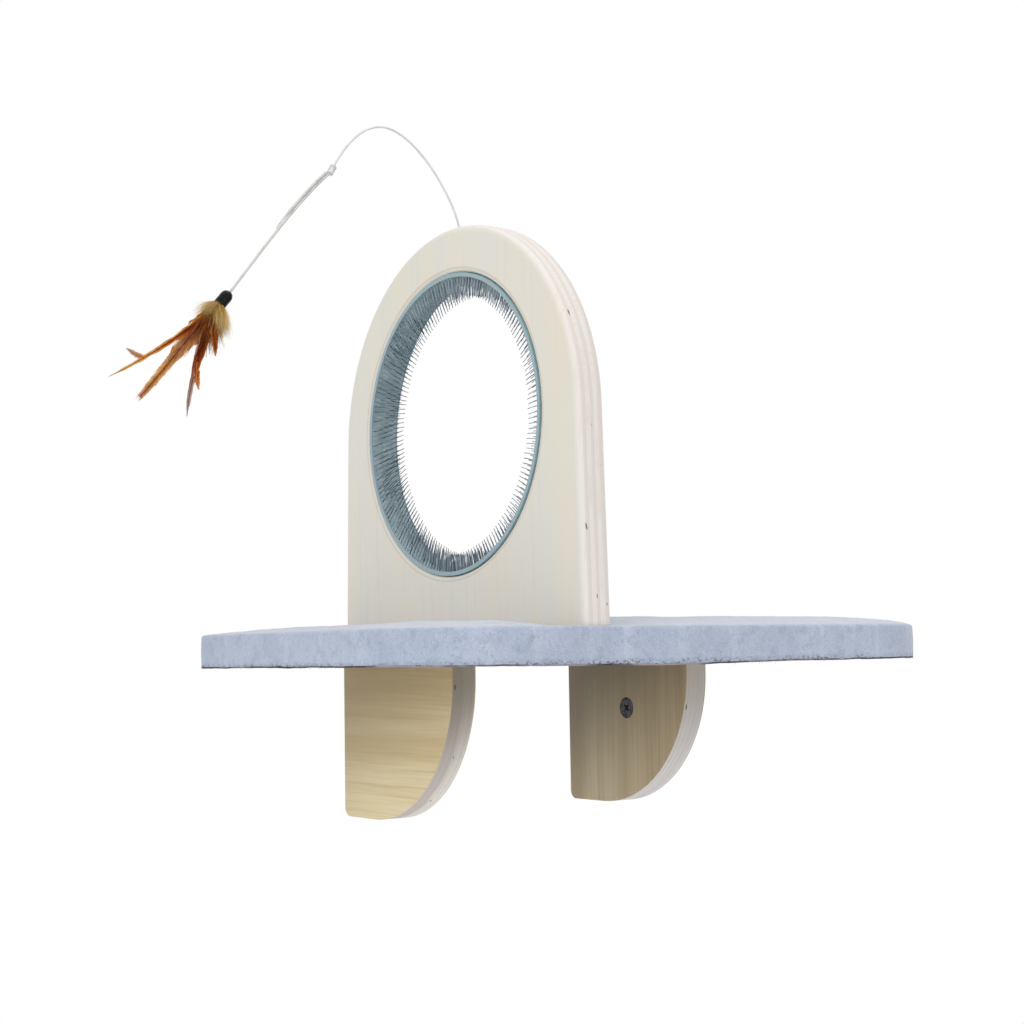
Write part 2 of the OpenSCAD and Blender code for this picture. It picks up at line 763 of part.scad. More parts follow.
// A feather from the cap: its quill leaves beside the rod's end, at an angle
// round the rod, and its tip lies down, sideways and to the front of the cap
module feather(turn, tip, width, bend, off = 1.7) {
    root = [off * cos(turn), off * sin(turn), 5];
    mouth = [root[0], root[1], cap_len + 0.5];
    control = [mouth, mouth + [0, 0, norm(tip) * 0.15], tip * 0.6 + bend + [0, 0, cap_len], tip + [0, 0, cap_len]];
    steps = 9;
    last = steps + 2;
    route = concat([root, (root + mouth) / 2], [for (i = [0:steps]) bezier(control, i / steps)]);
    half_w = [for (i = [0:last]) i < 3 ? 0.4 : 0.25 + width / 2 * pow(sin(180 * pow((i - 2) / (steps + 0.2), 0.8)), 0.8)];
    half_t = [for (i = [0:last]) i < 3 ? 0.4 : vane_t / 2 * (1.15 - i / last)];
    at_cap() skin(sweep_rings(route, [0.1, 1, 0.05], half_w, half_t, 4), root, route[last]);
}

module feather_long() {
    color("saddlebrown") feather(340, [0.29, -0.08, 1] * feather_len, 5.5, [-4, 0, 6]);
}

module feather_broad() {
    color("sienna") feather(50, [0.005, 0.02, 0.915] * feather_len, 9, [0, 0, 4]);
}

module feather_dark() {
    color("brown") feather(180, [-0.355, 0.03, 0.76] * feather_len, 6, [2, 0, 6]);
}

module feather_short() {
    color("peru") feather(110, [-0.16, 0.1, 0.35] * feather_len, 5, [0, 3, 2], 2.6);
}

module feather_small() {
    color("sienna") feather(250, [-0.2, -0.09, 0.31] * feather_len, 5, [0, -2, 2]);
}

// Short curled feathers between the others, each bowed out like a petal
module down_feathers() {
    steps = 8;
    color("darkkhaki")
    at_cap()
    for (turn = [60, 236, 276, 316]) {
        rotate([0, 0, turn]) {
            bow = [for (i = [0:steps]) 6.5 * sin(215 * pow(max(i / steps - 0.3, 0), 1.2))];
            route = [for (i = [0:steps]) [cap_r - 1.25 + bow[i], 0, cap_len - 8 + 32 * i / steps]];
            half_w = [for (i = [0:steps]) 0.4 + 0.32 * bow[i] * min(1, 4 * (1 - i / steps))];
            half_t = [for (i = [0:steps]) 0.25];
            skin(sweep_rings(route, [1, 0, 0], half_w, half_t, 4), route[0], route[steps]);
        }
    }
}

deck_board();
foam_pad();
plush_cover();
arch_panel();
arch_screws();
brush_band(1);  // brush_band_1
brush_band(2);  // brush_band_2
brush_band(3);  // brush_band_3
brush_band(4);  // brush_band_4
brush_band(5);  // brush_band_5
brush_band(6);  // brush_band_6
brush_band(7);  // brush_band_7
brush_band(8);  // brush_band_8
bracket_left();
bracket_right();
bracket_dowels();
cam_bolts();
cam_lock_left();
cam_lock_right();
hanger_plate_left();
hanger_plate_right();
hanger_screws();
wire_socket();
wire_foot();
spring_wire();
wire_clip();
teaser_rod();
feather_cap();
feather_long();
feather_broad();
feather_dark();
feather_short();
feather_small();
down_feathers();
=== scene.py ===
import random
from math import copysign, cos, exp, hypot, pi, radians, sin, sqrt

import bmesh
import bpy
from mathutils import Matrix, Vector, noise


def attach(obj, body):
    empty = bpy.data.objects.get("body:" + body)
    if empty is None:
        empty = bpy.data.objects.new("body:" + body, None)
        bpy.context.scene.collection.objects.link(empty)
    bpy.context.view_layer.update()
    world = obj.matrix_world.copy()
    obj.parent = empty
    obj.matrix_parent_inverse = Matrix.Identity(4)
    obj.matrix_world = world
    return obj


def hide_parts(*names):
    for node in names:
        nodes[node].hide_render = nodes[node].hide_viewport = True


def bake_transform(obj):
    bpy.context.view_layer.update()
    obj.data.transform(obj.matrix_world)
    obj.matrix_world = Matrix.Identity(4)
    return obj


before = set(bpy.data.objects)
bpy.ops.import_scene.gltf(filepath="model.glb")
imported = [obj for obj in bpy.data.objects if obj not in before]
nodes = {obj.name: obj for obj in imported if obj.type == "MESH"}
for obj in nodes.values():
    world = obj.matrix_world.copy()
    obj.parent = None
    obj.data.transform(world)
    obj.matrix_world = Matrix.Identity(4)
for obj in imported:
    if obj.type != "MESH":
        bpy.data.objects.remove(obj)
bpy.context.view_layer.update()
scene = bpy.context.scene
mm = 0.001

cameraView = {
    "place": (-0.71114, -1.02976, 0.05223),
    "yaw": 36.02,  # degrees to the right of straight at the wall
    "pitch": 4.59,  # degrees up
    "roll": 0.95,
    "focal": 1752 / 1024,  # share of the picture's width
    "sensor": 36,
    "clip": (0.01, 60),
}


def addObject(name, data):
    made = bpy.data.objects.new(name, data)
    scene.collection.objects.link(made)
    return made


def meshFrom(bm, name):
    mesh = bpy.data.meshes.new(name)
    bm.to_mesh(mesh)
    bm.free()
    return mesh


def carry(bm, matrix):  # moves the whole mesh
    bmesh.ops.transform(bm, matrix=matrix, verts=bm.verts)


def addCamera(v):
    yaw, pitch, roll = (radians(v[k]) for k in ("yaw", "pitch", "roll"))
    right = Vector((cos(yaw), -sin(yaw), 0))
    ahead = Vector((sin(yaw), cos(yaw), 0))
    forward = ahead * cos(pitch) + Vector((0, 0, sin(pitch)))
    up = Vector((0, 0, cos(pitch))) - ahead * sin(pitch)
    across = right * cos(roll) - up * sin(roll)
    above = up * cos(roll) + right * sin(roll)
    data = bpy.data.cameras.new("photoCamera")
    data.lens, data.sensor_width = v["focal"] * v["sensor"], v["sensor"]
    data.clip_start, data.clip_end = v["clip"]
    camera = addObject("photoCamera", data)
    turn = Matrix((across, above, -forward)).transposed().to_4x4()
    camera.matrix_world = Matrix.Translation(v["place"]) @ turn
    scene.camera = camera


addCamera(cameraView)
scene.view_settings.view_transform = "Standard"
print("camera placed")


def tone(red, green, blue):  # from the values 0 to 255 of a screen
    def linear(c):
        c /= 255
        return c / 12.92 if c <= 0.04045 else ((c + 0.055) / 1.055) ** 2.4
    return (linear(red), linear(green), linear(blue), 1)


def mathOperator(kind, reflected=False):  # a method that adds one Math node for two values
    def method(self, other):
        return self.maths(kind, other, self) if reflected else self.maths(kind, self, other)
    return method


class Signal:  # a socket whose arithmetic adds Math nodes
    def __init__(self, graph, socket):
        self.graph, self.socket = graph, socket

    def maths(self, kind, *values):
        return self.graph.add("Math", {"operation": kind}, dict(enumerate(values)))

    __add__ = __radd__ = mathOperator("ADD")
    __sub__, __rsub__ = mathOperator("SUBTRACT"), mathOperator("SUBTRACT", True)
    __mul__ = __rmul__ = mathOperator("MULTIPLY")
    __pow__ = mathOperator("POWER")
    __gt__ = mathOperator("GREATER_THAN")
    __mod__ = mathOperator("FLOORED_MODULO")

    def __abs__(self):
        return self.maths("ABSOLUTE", self)

    def floor(self):
        return self.maths("FLOOR", self)


class Graph:  # one material's or world's nodes
    def __init__(self, name, world=None):
        self.owner = world or bpy.data.materials.new(name)
        self.owner.use_nodes = True
        self.tree = self.owner.node_tree
        self.tree.nodes.clear()

    def add(self, kind, settings=None, values=None, take=0):
        node = self.tree.nodes.new("ShaderNode" + kind)
        for key, value in (settings or {}).items():
            if key == "stops":
                ramp = node.color_ramp
                while len(ramp.elements) < len(value):
                    ramp.elements.new(0.5)
                for element, (place, colour) in zip(ramp.elements, value):
                    element.position, element.color = place, colour
            else:
                setattr(node, key, value)
        for key, value in (values or {}).items():
            if isinstance(value, Signal):
                self.tree.links.new(value.socket, node.inputs[key])
            else:
                node.inputs[key].default_value = value
        if isinstance(take, tuple):
            return [Signal(self, node.outputs[t]) for t in take]
        return Signal(self, node.outputs[take])

    def place(self):  # Object coordinates in millimetres
        spot = self.add("TexCoord", take="Object")
        return self.add("VectorMath", {"operation": "SCALE"}, {0: spot, "Scale": 1000})

    def split(self, vector):
        return self.add("SeparateXYZ", None, {0: vector}, ("X", "Y", "Z"))

    def join(self, x, y, z):
        return self.add("CombineXYZ", None, {"X": x, "Y": y, "Z": z})

    def value(self, name):  # the piece's own attribute
        return self.add("Attribute", {"attribute_name": name}, take="Fac")

    def noise(self, vector, scale, detail, rough=0.5, warp=0):
        return self.add("TexNoise", None, {"Vector": vector, "Scale": scale, "Detail": detail,
                                           "Roughness": rough, "Distortion": warp})

    def streaks(self, x, y, z, detail, rough=0.5):  # noise drawn out along an axis
        return self.noise(self.join(x, y, z), 1.0, detail, rough)

    def spread(self, value, low, high, first=0.0, last=1.0):
        return self.add("MapRange", {"interpolation_type": "SMOOTHSTEP"}, {
            "Value": value, "From Min": low, "From Max": high, "To Min": first, "To Max": last})

    def ramp(self, value, stops):
        toned = [(place, tone(*colour)) for place, colour in stops]
        return self.add("ValToRGB", {"stops": toned}, {0: value})

    def mix(self, factor, first, second):  # colours are Signals or screen values
        first, second = (c if isinstance(c, Signal) else tone(*c) for c in (first, second))
        return self.add("Mix", {"data_type": "RGBA"}, {0: factor, 6: first, 7: second}, 2)

    def bump(self, height, distance, strength):  # distance in mm
        return self.add("Bump", None, {"Height": height, "Distance": distance * mm,
                                       "Strength": strength})

    def finish(self, colour, roughness, normal, **others):
        values = {"Base Color": colour, "Roughness": roughness, "Normal": normal}
        values.update((key.replace("_", " "), value) for key, value in others.items())
        surface = self.add("BsdfPrincipled", None, values)
        self.add("OutputMaterial", None, {"Surface": surface}, ())
        return self.owner


def wear(piece, material):  # the material takes every slot of the piece
    piece.data.materials.clear()
    piece.data.materials.append(material)


studio = {
    "floorLevel": -0.42, "floorHalf": 14,
    "shadowShare": 0.4,  # share of the floor's own shading that shows near the object
    "shadowReach": (0.25, 0.75), "shadowMiddle": (-0.05, -0.13),
    "worldLight": 0.72,
    "aim": (-0.04, -0.13, 0.12),
    "lamps": (  # place, size, watts
        ((-2.6, -1.2, 1.3), 1.8, 29),
        ((0.9, -2.4, 1.0), 1.4, 8),
        ((0.2, -0.4, 2.4), 1.2, 17),
    ),
}


def seenByCamera(g):  # 1 for rays that show a background, straight or by gloss and glass
    rays = ("Is Camera Ray", "Is Glossy Ray", "Is Transmission Ray")
    camera, glossy, through = g.add("LightPath", take=rays)
    return camera.maths("MAXIMUM", camera, glossy.maths("MAXIMUM", glossy, through))


def addStudio(s):
    bm = bmesh.new()
    bmesh.ops.create_grid(bm, x_segments=1, y_segments=1, size=s["floorHalf"])
    bmesh.ops.translate(bm, verts=bm.verts, vec=(0, 0, s["floorLevel"]))
    floor = addObject("studioFloor", meshFrom(bm, "studioFloor"))
    g = Graph("paleFloor")
    matt = g.add("BsdfDiffuse", None, {"Color": tone(250, 250, 249)})
    glow = g.add("Emission", None, {"Color": (1, 1, 1, 1)})
    x, y = g.split(g.add("TexCoord", take="Object"))[:2]
    across, out = x - s["shadowMiddle"][0], y - s["shadowMiddle"][1]
    away = (across * across + out * out) ** 0.5
    near = g.spread(away, *s["shadowReach"], s["shadowShare"], 0.0)
    both = g.add("MixShader", None, {0: seenByCamera(g) * (1 - near), 1: matt, 2: glow})
    g.add("OutputMaterial", None, {"Surface": both}, ())
    wear(floor, g.owner)

    scene.world = bpy.data.worlds.new("studioWorld")
    w = Graph("studioWorld", scene.world)
    lit = w.add("Background", None, {"Color": tone(250, 251, 255), "Strength": s["worldLight"]})
    white = w.add("Background", None, {"Color": (1, 1, 1, 1)})
    both = w.add("MixShader", None, {0: seenByCamera(w), 1: lit, 2: white})
    w.add("OutputWorld", None, {"Surface": both}, ())

    for i, (place, size, watts) in enumerate(s["lamps"]):
        data = bpy.data.lights.new("softLamp%d" % (i + 1), "AREA")
        data.size, data.energy = size, watts
        lamp = addObject(data.name, data)
        lamp.location = place
        ray = Vector(s["aim"]) - Vector(place)
        lamp.rotation_euler = ray.to_track_quat("-Z", "Y").to_euler()


addStudio(studio)
print("studio lit")


def asPiece(bm, name, body, material, replaced=(), smooth=True):
    mesh = meshFrom(bm, name)
    if smooth:
        mesh.shade_smooth()
    piece = addObject(name, mesh)
    wear(piece, material)
    if body:
        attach(piece, body)
    if replaced:
        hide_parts(*replaced)
    return piece


def tubeMesh(points, radii, sides):  # a closed tube along a list of points
    curve = bpy.data.curves.new("route", "CURVE")
    curve.dimensions = "3D"
    curve.bevel_depth = 1.0
    curve.bevel_resolution = max(0, sides // 4 - 1)
    curve.use_fill_caps = True
    spline = curve.splines.new("POLY")
    spline.points.add(len(points) - 1)
    for knot, p, r in zip(spline.points, points, radii):
        knot.co = (*p, 1)
        knot.radius = r
    holder = addObject("route", curve)
    bpy.context.view_layer.update()
    mesh = bpy.data.meshes.new_from_object(holder)
    bpy.data.objects.remove(holder)
    bpy.data.curves.remove(curve)
    return mesh


def spunRing(bm, points, axis, angle, steps, merge):  # a closed loop of points, spun round the origin
    ring = [bm.verts.new(p) for p in points]
    edges = [bm.edges.new(pair) for pair in zip(ring, ring[1:] + ring[:1])]
    bmesh.ops.spin(bm, geom=ring + edges, cent=(0, 0, 0), axis=axis, angle=angle, steps=steps,
                   use_merge=merge)


def bezier(p, t):
    s = 1 - t
    return p[0] * s ** 3 + p[1] * 3 * t * s ** 2 + p[2] * 3 * t * t * s + p[3] * t ** 3


def clamped(s):
    return min(max(s, 0), 1)


def eased(s):  # from 0 to 1 with soft ends
    s = clamped(s)
    return s * s * (3 - 2 * s)


def profile(values, t):  # evenly spaced values joined smoothly, read at a share t
    spot = clamped(t) * (len(values) - 1)
    k = min(int(spot), len(values) - 2)
    return values[k] + (values[k + 1] - values[k]) * eased(spot - k)


def setValues(mesh, **values):  # float attributes on a mesh's points
    for name, numbers in values.items():
        layer = mesh.attributes.get(name) or mesh.attributes.new(name, "FLOAT", "POINT")
        layer.data.foreach_set("value", numbers)


# a closed hair one unit long on +X that bends to +Z
def strand(radius, steps, bend, sides=3, tip=0.3):
    bm = bmesh.new()
    bmesh.ops.create_cone(bm, segments=sides, radius1=radius, radius2=radius * tip, depth=1,
                          cap_ends=True)
    bmesh.ops.translate(bm, verts=bm.verts, vec=(0, 0, 0.5))
    long = [e for e in bm.edges if abs(e.verts[0].co.z - e.verts[1].co.z) > 0.5]
    bmesh.ops.subdivide_edges(bm, edges=long, cuts=steps - 1)
    bmesh.ops.rotate(bm, verts=bm.verts, matrix=Matrix.Rotation(pi / 2, 3, "Y"))
    along = [v.co.x for v in bm.verts]
    for v in bm.verts:
        v.co.z += bend * v.co.x ** 2
    mesh = meshFrom(bm, "strand")
    return {"mesh": mesh, "rest": [v.co.copy() for v in mesh.vertices], "along": along}


# adds a placed copy of a hair, each attribute running from a first to a last value along it
def stamp(bm, hair, place, turn, size, **ends):
    matrix = Matrix.Translation(place) @ turn @ Matrix.Scale(size, 4)
    mesh = hair["mesh"]
    for v, co in zip(mesh.vertices, hair["rest"]):
        v.co = matrix @ co
    for name, (a, b) in ends.items():
        setValues(mesh, **{name: [a + (b - a) * s for s in hair["along"]]})
    bm.from_mesh(mesh)


def frameOf(direction, up):  # turns +X to a direction and +Z as near as it can to up
    x = direction.normalized()
    y = up.cross(x).normalized()
    return Matrix((x, y, x.cross(y))).transposed().to_4x4()


def noiseAt(*place):  # smooth, from -1 to 1
    return noise.noise(Vector(place))


def planNoise(x, y, scale, layer):
    return noiseAt(x * scale, y * scale, layer)


panelWood = {
    "across": "x", "middle": -96, "half": 10,  # axis through the sheet, its middle, mm
    "plies": 7, "grain": "z",
    "face": (214, 212, 202), "blush": (219, 212, 197),
    "streak": (206, 198, 179), "streakShare": 0.3, "fineShare": 0.1,
    "plyLong": (222, 217, 210), "plyEnd": (213, 203, 198), "glue": (200, 188, 180),
    "seam": (234, 230, 224), "seamShare": 0.6, "voids": (140, 108, 96),
    "flankShare": 0, "shadeShare": 0, "paintedEdgeShadeShare": 0,
    "hole": (-132, 194.49, 97.4), "holeShadeLine": (196, 178, 158),
}
leftBracketWood = {
    "across": "x", "middle": -96, "half": 9,
    "plies": 9, "grain": "y",
    "face": (220, 207, 170), "blush": (212, 194, 150),
    "streak": (186, 164, 118), "streakShare": 0.6, "fineShare": 0.38,
    "plyLong": (228, 227, 224), "plyEnd": (220, 216, 216), "glue": (192, 186, 182),
    "seam": (190, 186, 184), "seamShare": 0.3, "voids": (84, 68, 60),
    "flank": (170, 156, 154), "flankShare": 0.6,
    # painted shade: the face darkens towards the wall and under the deck, the edge towards the top
    "shade": (150, 134, 102), "shadeShare": 0.85,
    "paintedEdgeShade": (122, 118, 109), "paintedEdgeShadeShare": 0.85,
}
# the right bracket's face, streak and blush are darker than the left's as painted shade, for its place
# in the shadow under the deck
rightBracketWood = dict(
    leftBracketWood, middle=96, grain="z",
    face=(190, 178, 150), streak=(152, 138, 110), blush=(176, 160, 130),
    plyLong=(220, 217, 218), plyEnd=(210, 206, 208), glue=(194, 188, 190),
    seam=(226, 222, 224), flankShare=0,
    shade=(108, 100, 84), shadeShare=0.95, paintedEdgeShade=(166, 164, 162), paintedEdgeShadeShare=0.8)
deckWood = dict(
    leftBracketWood, across="z", middle=55, grain="x",
    face=(214, 196, 156), streak=(170, 144, 100), blush=(204, 180, 138),
    plyLong=(204, 186, 154), plyEnd=(166, 140, 110), glue=(120, 98, 78),
    seam=(126, 104, 84), flankShare=0, shadeShare=0, paintedEdgeShadeShare=0)
veneer = 0.8  # face sheet, mm


def plywood(name, w):
    g = Graph(name)
    axes = dict(zip("xyz", g.split(g.place())))
    depth = axes[w["across"]] - w["middle"]
    along = axes[w["grain"]]
    side = axes[next(a for a in "xyz" if a not in (w["across"], w["grain"]))]
    # face veneer: broad bands, fine streaks and a few darker lines along the grain
    drift = g.streaks(along * 0.006, side * 0.02, depth * 0.01, 2)
    bent = side + drift * 6
    bands = g.streaks(along * 0.0022, bent * 0.055, depth * 0.02, 3, 0.55)
    fine = g.streaks(along * 0.014, bent * 0.75, depth * 0.3, 4, 0.65)
    lines = g.streaks(along * 0.005, bent * 0.22, depth * 0.1 + 7, 3, 0.6)
    wood = g.mix(g.spread(bands, 0.34, 0.66), w["face"], w["blush"])
    wood = g.mix(g.spread(lines, 0.52, 0.72, 0, w["streakShare"]), wood, w["streak"])
    wood = g.mix(g.spread(fine, 0.3, 0.75, 0, w["fineShare"]), wood, w["streak"])
    if w["shadeShare"]:  # painted shade: brackets darken towards the wall and under the deck
        paintedShade = g.spread(axes["z"] + axes["y"] * 0.45 + bands * 40, -70, 50, 0, w["shadeShare"])
        wood = g.mix(paintedShade, wood, w["shade"])
    # edges: thin sheets with crossed grain, glue lines and small voids
    wave = g.streaks(axes["x"] * 0.02, axes["y"] * 0.02, axes["z"] * 0.02, 2)
    level = (depth + w["half"] + (wave - 0.5) * 0.9) * (w["plies"] / (2 * w["half"]))
    sheet = level.floor()
    inSheet = level - sheet
    crossed = sheet % 2.0
    tint = g.streaks(sheet * 3.7, 0.0, 0.0, 0)
    longFibres = g.streaks(side * 1.1, along * 0.03, sheet * 5, 3, 0.6)
    endFibres = g.streaks(side * 0.05, along * 1.6, sheet * 5 + depth * 1.6, 3, 0.7)
    fibres = longFibres + (endFibres - longFibres) * crossed
    edge = g.mix(crossed, w["plyLong"], w["plyEnd"])
    edge = g.mix(g.spread(tint, 0.35, 0.65, 0, 0.3), edge, w["blush"])
    if w["flankShare"]:
        edge = g.mix(g.spread(depth + wave * 6, 1.5, 4.5, w["flankShare"], 0), edge, w["flank"])
    edge = g.mix(g.spread(fibres, 0.45, 0.75, 0, 0.35), edge, w["glue"])
    # painted shade: the edge darkens towards the top, under the deck
    if w["paintedEdgeShadeShare"]:
        low = g.spread(axes["z"] + wave * 20, -35, 45, 0, w["paintedEdgeShadeShare"])
        edge = g.mix(low, edge, w["paintedEdgeShade"])
    seam = abs(inSheet - 0.5) > 0.445
    seamed = g.streaks(sheet * 2.3, side * 0.02, along * 0.02, 1)
    edge = g.mix(seam * g.spread(seamed, 0.35, 0.6, 0, w["seamShare"]), edge, w["seam"])
    hollow = g.streaks(axes["x"] * 0.25, axes["y"] * 0.09, axes["z"] * 0.09, 1)
    gaps = g.spread(hollow, 0.75, 0.77) * crossed
    edge = g.mix(gaps, edge, w["voids"])
    onFace = g.spread(abs(depth), w["half"] - veneer, w["half"] - veneer + 0.25)
    colour = g.mix(onFace, edge, wood)
    if "hole" in w:  # a thin brownish line is painted round the hole's mouth: painted shade where the rounded edge begins
        y, z, radius = w["hole"]
        reach = ((axes["y"] - y) ** 2.0 + (axes["z"] - z) ** 2.0) ** 0.5
        colour = g.mix(g.spread(abs(reach - radius), 0.25, 0.9, 0.6, 0), colour, w["holeShadeLine"])
    height = fine * onFace * 0.6 + (1 - onFace) * (fibres * 0.7 - seam * 0.4 - gaps * 2)
    rough = 0.5 + fine * 0.18 + (1 - onFace) * 0.12
    return g.finish(colour, rough, g.bump(height, 0.14, 0.7), IOR=1.45)


def dress(material, *names):  # CAD nodes that keep their own shape
    for name in names:
        wear(nodes[name], material)


dress(plywood("palePlywood", panelWood), "arch_panel")
dress(plywood("leftBracketPlywood", leftBracketWood), "bracket_left")
dress(plywood("rightBracketPlywood", rightBracketWood), "bracket_right")
dress(plywood("deckPlywood", deckWood), "deck_board")
print("wood done")

fittings = {
    "zinc": {"base": (196, 198, 200), "dull": (150, 152, 156), "rough": 0.34},
    "castZinc": {"base": (88, 90, 96), "dull": (48, 48, 54), "rough": 0.5},
    "nylon": {"base": (232, 231, 226), "dull": (214, 212, 204), "rough": 0.45},
    "beech": {"base": (206, 168, 122), "dull": (172, 130, 86), "rough": 0.6},
}


def metal(name, f, grain):
    g = Graph(name)
    spot = g.place()
    cloud = g.noise(spot, grain, 4, 0.6)
    drawn = g.add("VectorMath", {"operation": "MULTIPLY"}, {0: spot, 1: (4, 0.5, 0.5)})
    scratch = g.noise(drawn, 1.0, 2)
    colour = g.mix(g.spread(cloud, 0.35, 0.7), f["base"], f["dull"])
    rough = f["rough"] + cloud * 0.18 + scratch * 0.06
    height = cloud * 0.7 + scratch * 0.3
    return g.finish(colour, rough, g.bump(height, 0.05, 0.5), Metallic=1.0)


def nylon(name, f):
    g = Graph(name)
    spot = g.place()
    cloud = g.noise(spot, 0.5, 3)
    pits = g.noise(spot, 4.0, 2)
    colour = g.mix(g.spread(cloud, 0.3, 0.7), f["base"], f["dull"])
    return g.finish(colour, f["rough"] + pits * 0.1, g.bump(pits, 0.03, 0.4))


def beech(name, f):
    g = Graph(name)
    x, y, z = g.split(g.place())
    grain = g.streaks(x * 1.5, y * 1.5, z * 0.08, 3, 0.6)
    flecks = g.streaks(x * 3, y * 3, z * 0.6, 1)
    colour = g.mix(g.spread(grain, 0.35, 0.7), f["base"], f["dull"])
    colour = g.mix(g.spread(flecks, 0.62, 0.7, 0, 0.4), colour, f["dull"])
    return g.finish(colour, f["rough"] + grain * 0.1, g.bump(grain, 0.08, 0.5))


dress(metal("zincPlate", fittings["zinc"], 0.8), "arch_screws", "cam_bolts",
      "hanger_plate_left", "hanger_plate_right", "hanger_screws")
dress(metal("dullCastZinc", fittings["castZinc"], 0.5), "cam_lock_left", "cam_lock_right")
dress(nylon("whiteNylon", fittings["nylon"]), "wire_socket")
dress(beech("beechDowel", fittings["beech"]), "bracket_dowels")
print("fittings done")

cover = {
    "wide": 424, "deep": 268, "frontRadius": 85, "rearRadius": 4,  # plan, mm
    "rim": 66.6, "hem": 45.6, "wallHem": 48.3, "boardTop": 64.15,  # levels
    "slotLow": (-106.45, -265.45), "slotHigh": (-85.55, -3.05),
    "crown": 7, "edgeRadius": 2.0, "edgeSteps": 4, "cloth": 1.22,
    "cell": 4.2, "rearCuts": (0.6, 1.4, 2.6),  # mesh size on top, finer at the tight rear corners
    "tuck": 4.2, "tuckReach": 24, "slotLip": 1.4,  # dip along the panel
    "ripple": 0.3, "puff": 0.3, "hemWave": 0.4,
    "sag": (0.9, -45, 55), "lift": (0.7, -130, 70),  # height, place and reach along the hem
    "wallRise": (24, 14),  # from the ends of the wall side, and over what length
    # cloth: frames, spare length, the foam's hold, the most that it may move
    "frames": 20, "slack": 0.004, "hold": 0.35, "swell": 1.0,
    "pale": (176, 185, 202), "base": (166, 176, 193),
    "dim": (138, 150, 170), "dust": (200, 206, 217),
    "hemBackingAndShade": (92, 88, 100),  # dark flecks along the hem: partly its dark backing, partly painted shade under the hem
    "paintedTopSheen": (201, 203, 209), "paintedTopSheenShare": 0.6,  # painted light and sheen that make the top paler
}


def coverEdge(c, x, y):  # signed distance to the cover's outline, and the way out
    py = y + c["deep"] / 2
    r = c["rearRadius"] if py > 0 else c["frontRadius"]
    qx, qy = abs(x) - (c["wide"] / 2 - r), abs(py) - (c["deep"] / 2 - r)
    sx, sy = copysign(1, x), copysign(1, py)
    if qx > 0 and qy > 0:
        reach = hypot(qx, qy)
        return reach - r, Vector((sx * qx, sy * qy, 0)) / reach
    if qx > qy:
        return qx - r, Vector((sx, 0, 0))
    return qy - r, Vector((0, sy, 0))


def roundedShare(c, x, y, inset):  # share of a ray from the middle that lies in the rounded plan
    low, high = 0.5, 1.0
    for halving in range(18):
        t = (low + high) / 2
        if coverEdge(c, x * t, y * t - c["deep"] / 2)[0] > -inset:
            high = t
        else:
            low = t
    return low


# the hem sags a little in front, lifts at the left and runs above the brackets along the wall
def hemLevel(c, x, y):
    wave = planNoise(x, y, 0.03, 1) + 0.6 * planNoise(x, y, 0.11, 5)
    level = c["hem"] + c["hemWave"] * wave
    depth, middle, reach = c["sag"]
    if y < -c["deep"] / 2:
        level -= depth * exp(-((x - middle) / reach) ** 2)
    height, start, reach = c["lift"]
    level += height * clamped((start - x) / reach)
    inset, reach = c["wallRise"]
    rise = eased((c["wide"] / 2 - inset - abs(x)) / reach) if y > -3 else 0
    return level + (c["wallHem"] - level) * rise


def relax(bm, c):  # lets the cloth settle over the foam, held at its rim and along the slot
    mesh = bpy.data.meshes.new("coverTop")
    bm.to_mesh(mesh)
    top = addObject("coverTop", mesh)
    held = top.vertex_groups.new(name="held")
    for v in bm.verts:
        held.add([v.index], 1.0 if v.is_boundary else c["hold"], "REPLACE")
    cloth = top.modifiers.new("relax", "CLOTH")
    s = cloth.settings
    s.quality = 6
    s.mass = 0.2
    s.tension_stiffness = s.compression_stiffness = 14
    s.shear_stiffness = 4
    s.bending_stiffness = 0.3
    s.vertex_group_mass = "held"
    s.pin_stiffness = 0.6
    s.shrink_min = -c["slack"]
    s.use_pressure = True
    s.uniform_pressure_force = 4
    s.effector_weights.gravity = 0
    cloth.point_cache.frame_start, cloth.point_cache.frame_end = 1, c["frames"]
    for step in range(c["frames"]):
        scene.frame_set(step + 1)
    moved = top.evaluated_get(bpy.context.evaluated_depsgraph_get()).data
    for v, w in zip(bm.verts, moved.vertices):
        shift = w.co - v.co
        if shift.length > c["swell"] * mm:
            shift *= c["swell"] * mm / shift.length
        v.co += shift
    bmesh.ops.smooth_vert(bm, verts=[v for v in bm.verts if not v.is_boundary], factor=0.5,
                          use_axis_x=True, use_axis_y=True, use_axis_z=True)
    scene.frame_set(1)
    bpy.data.objects.remove(top)
    bpy.data.meshes.remove(mesh)
    print("cloth settled")


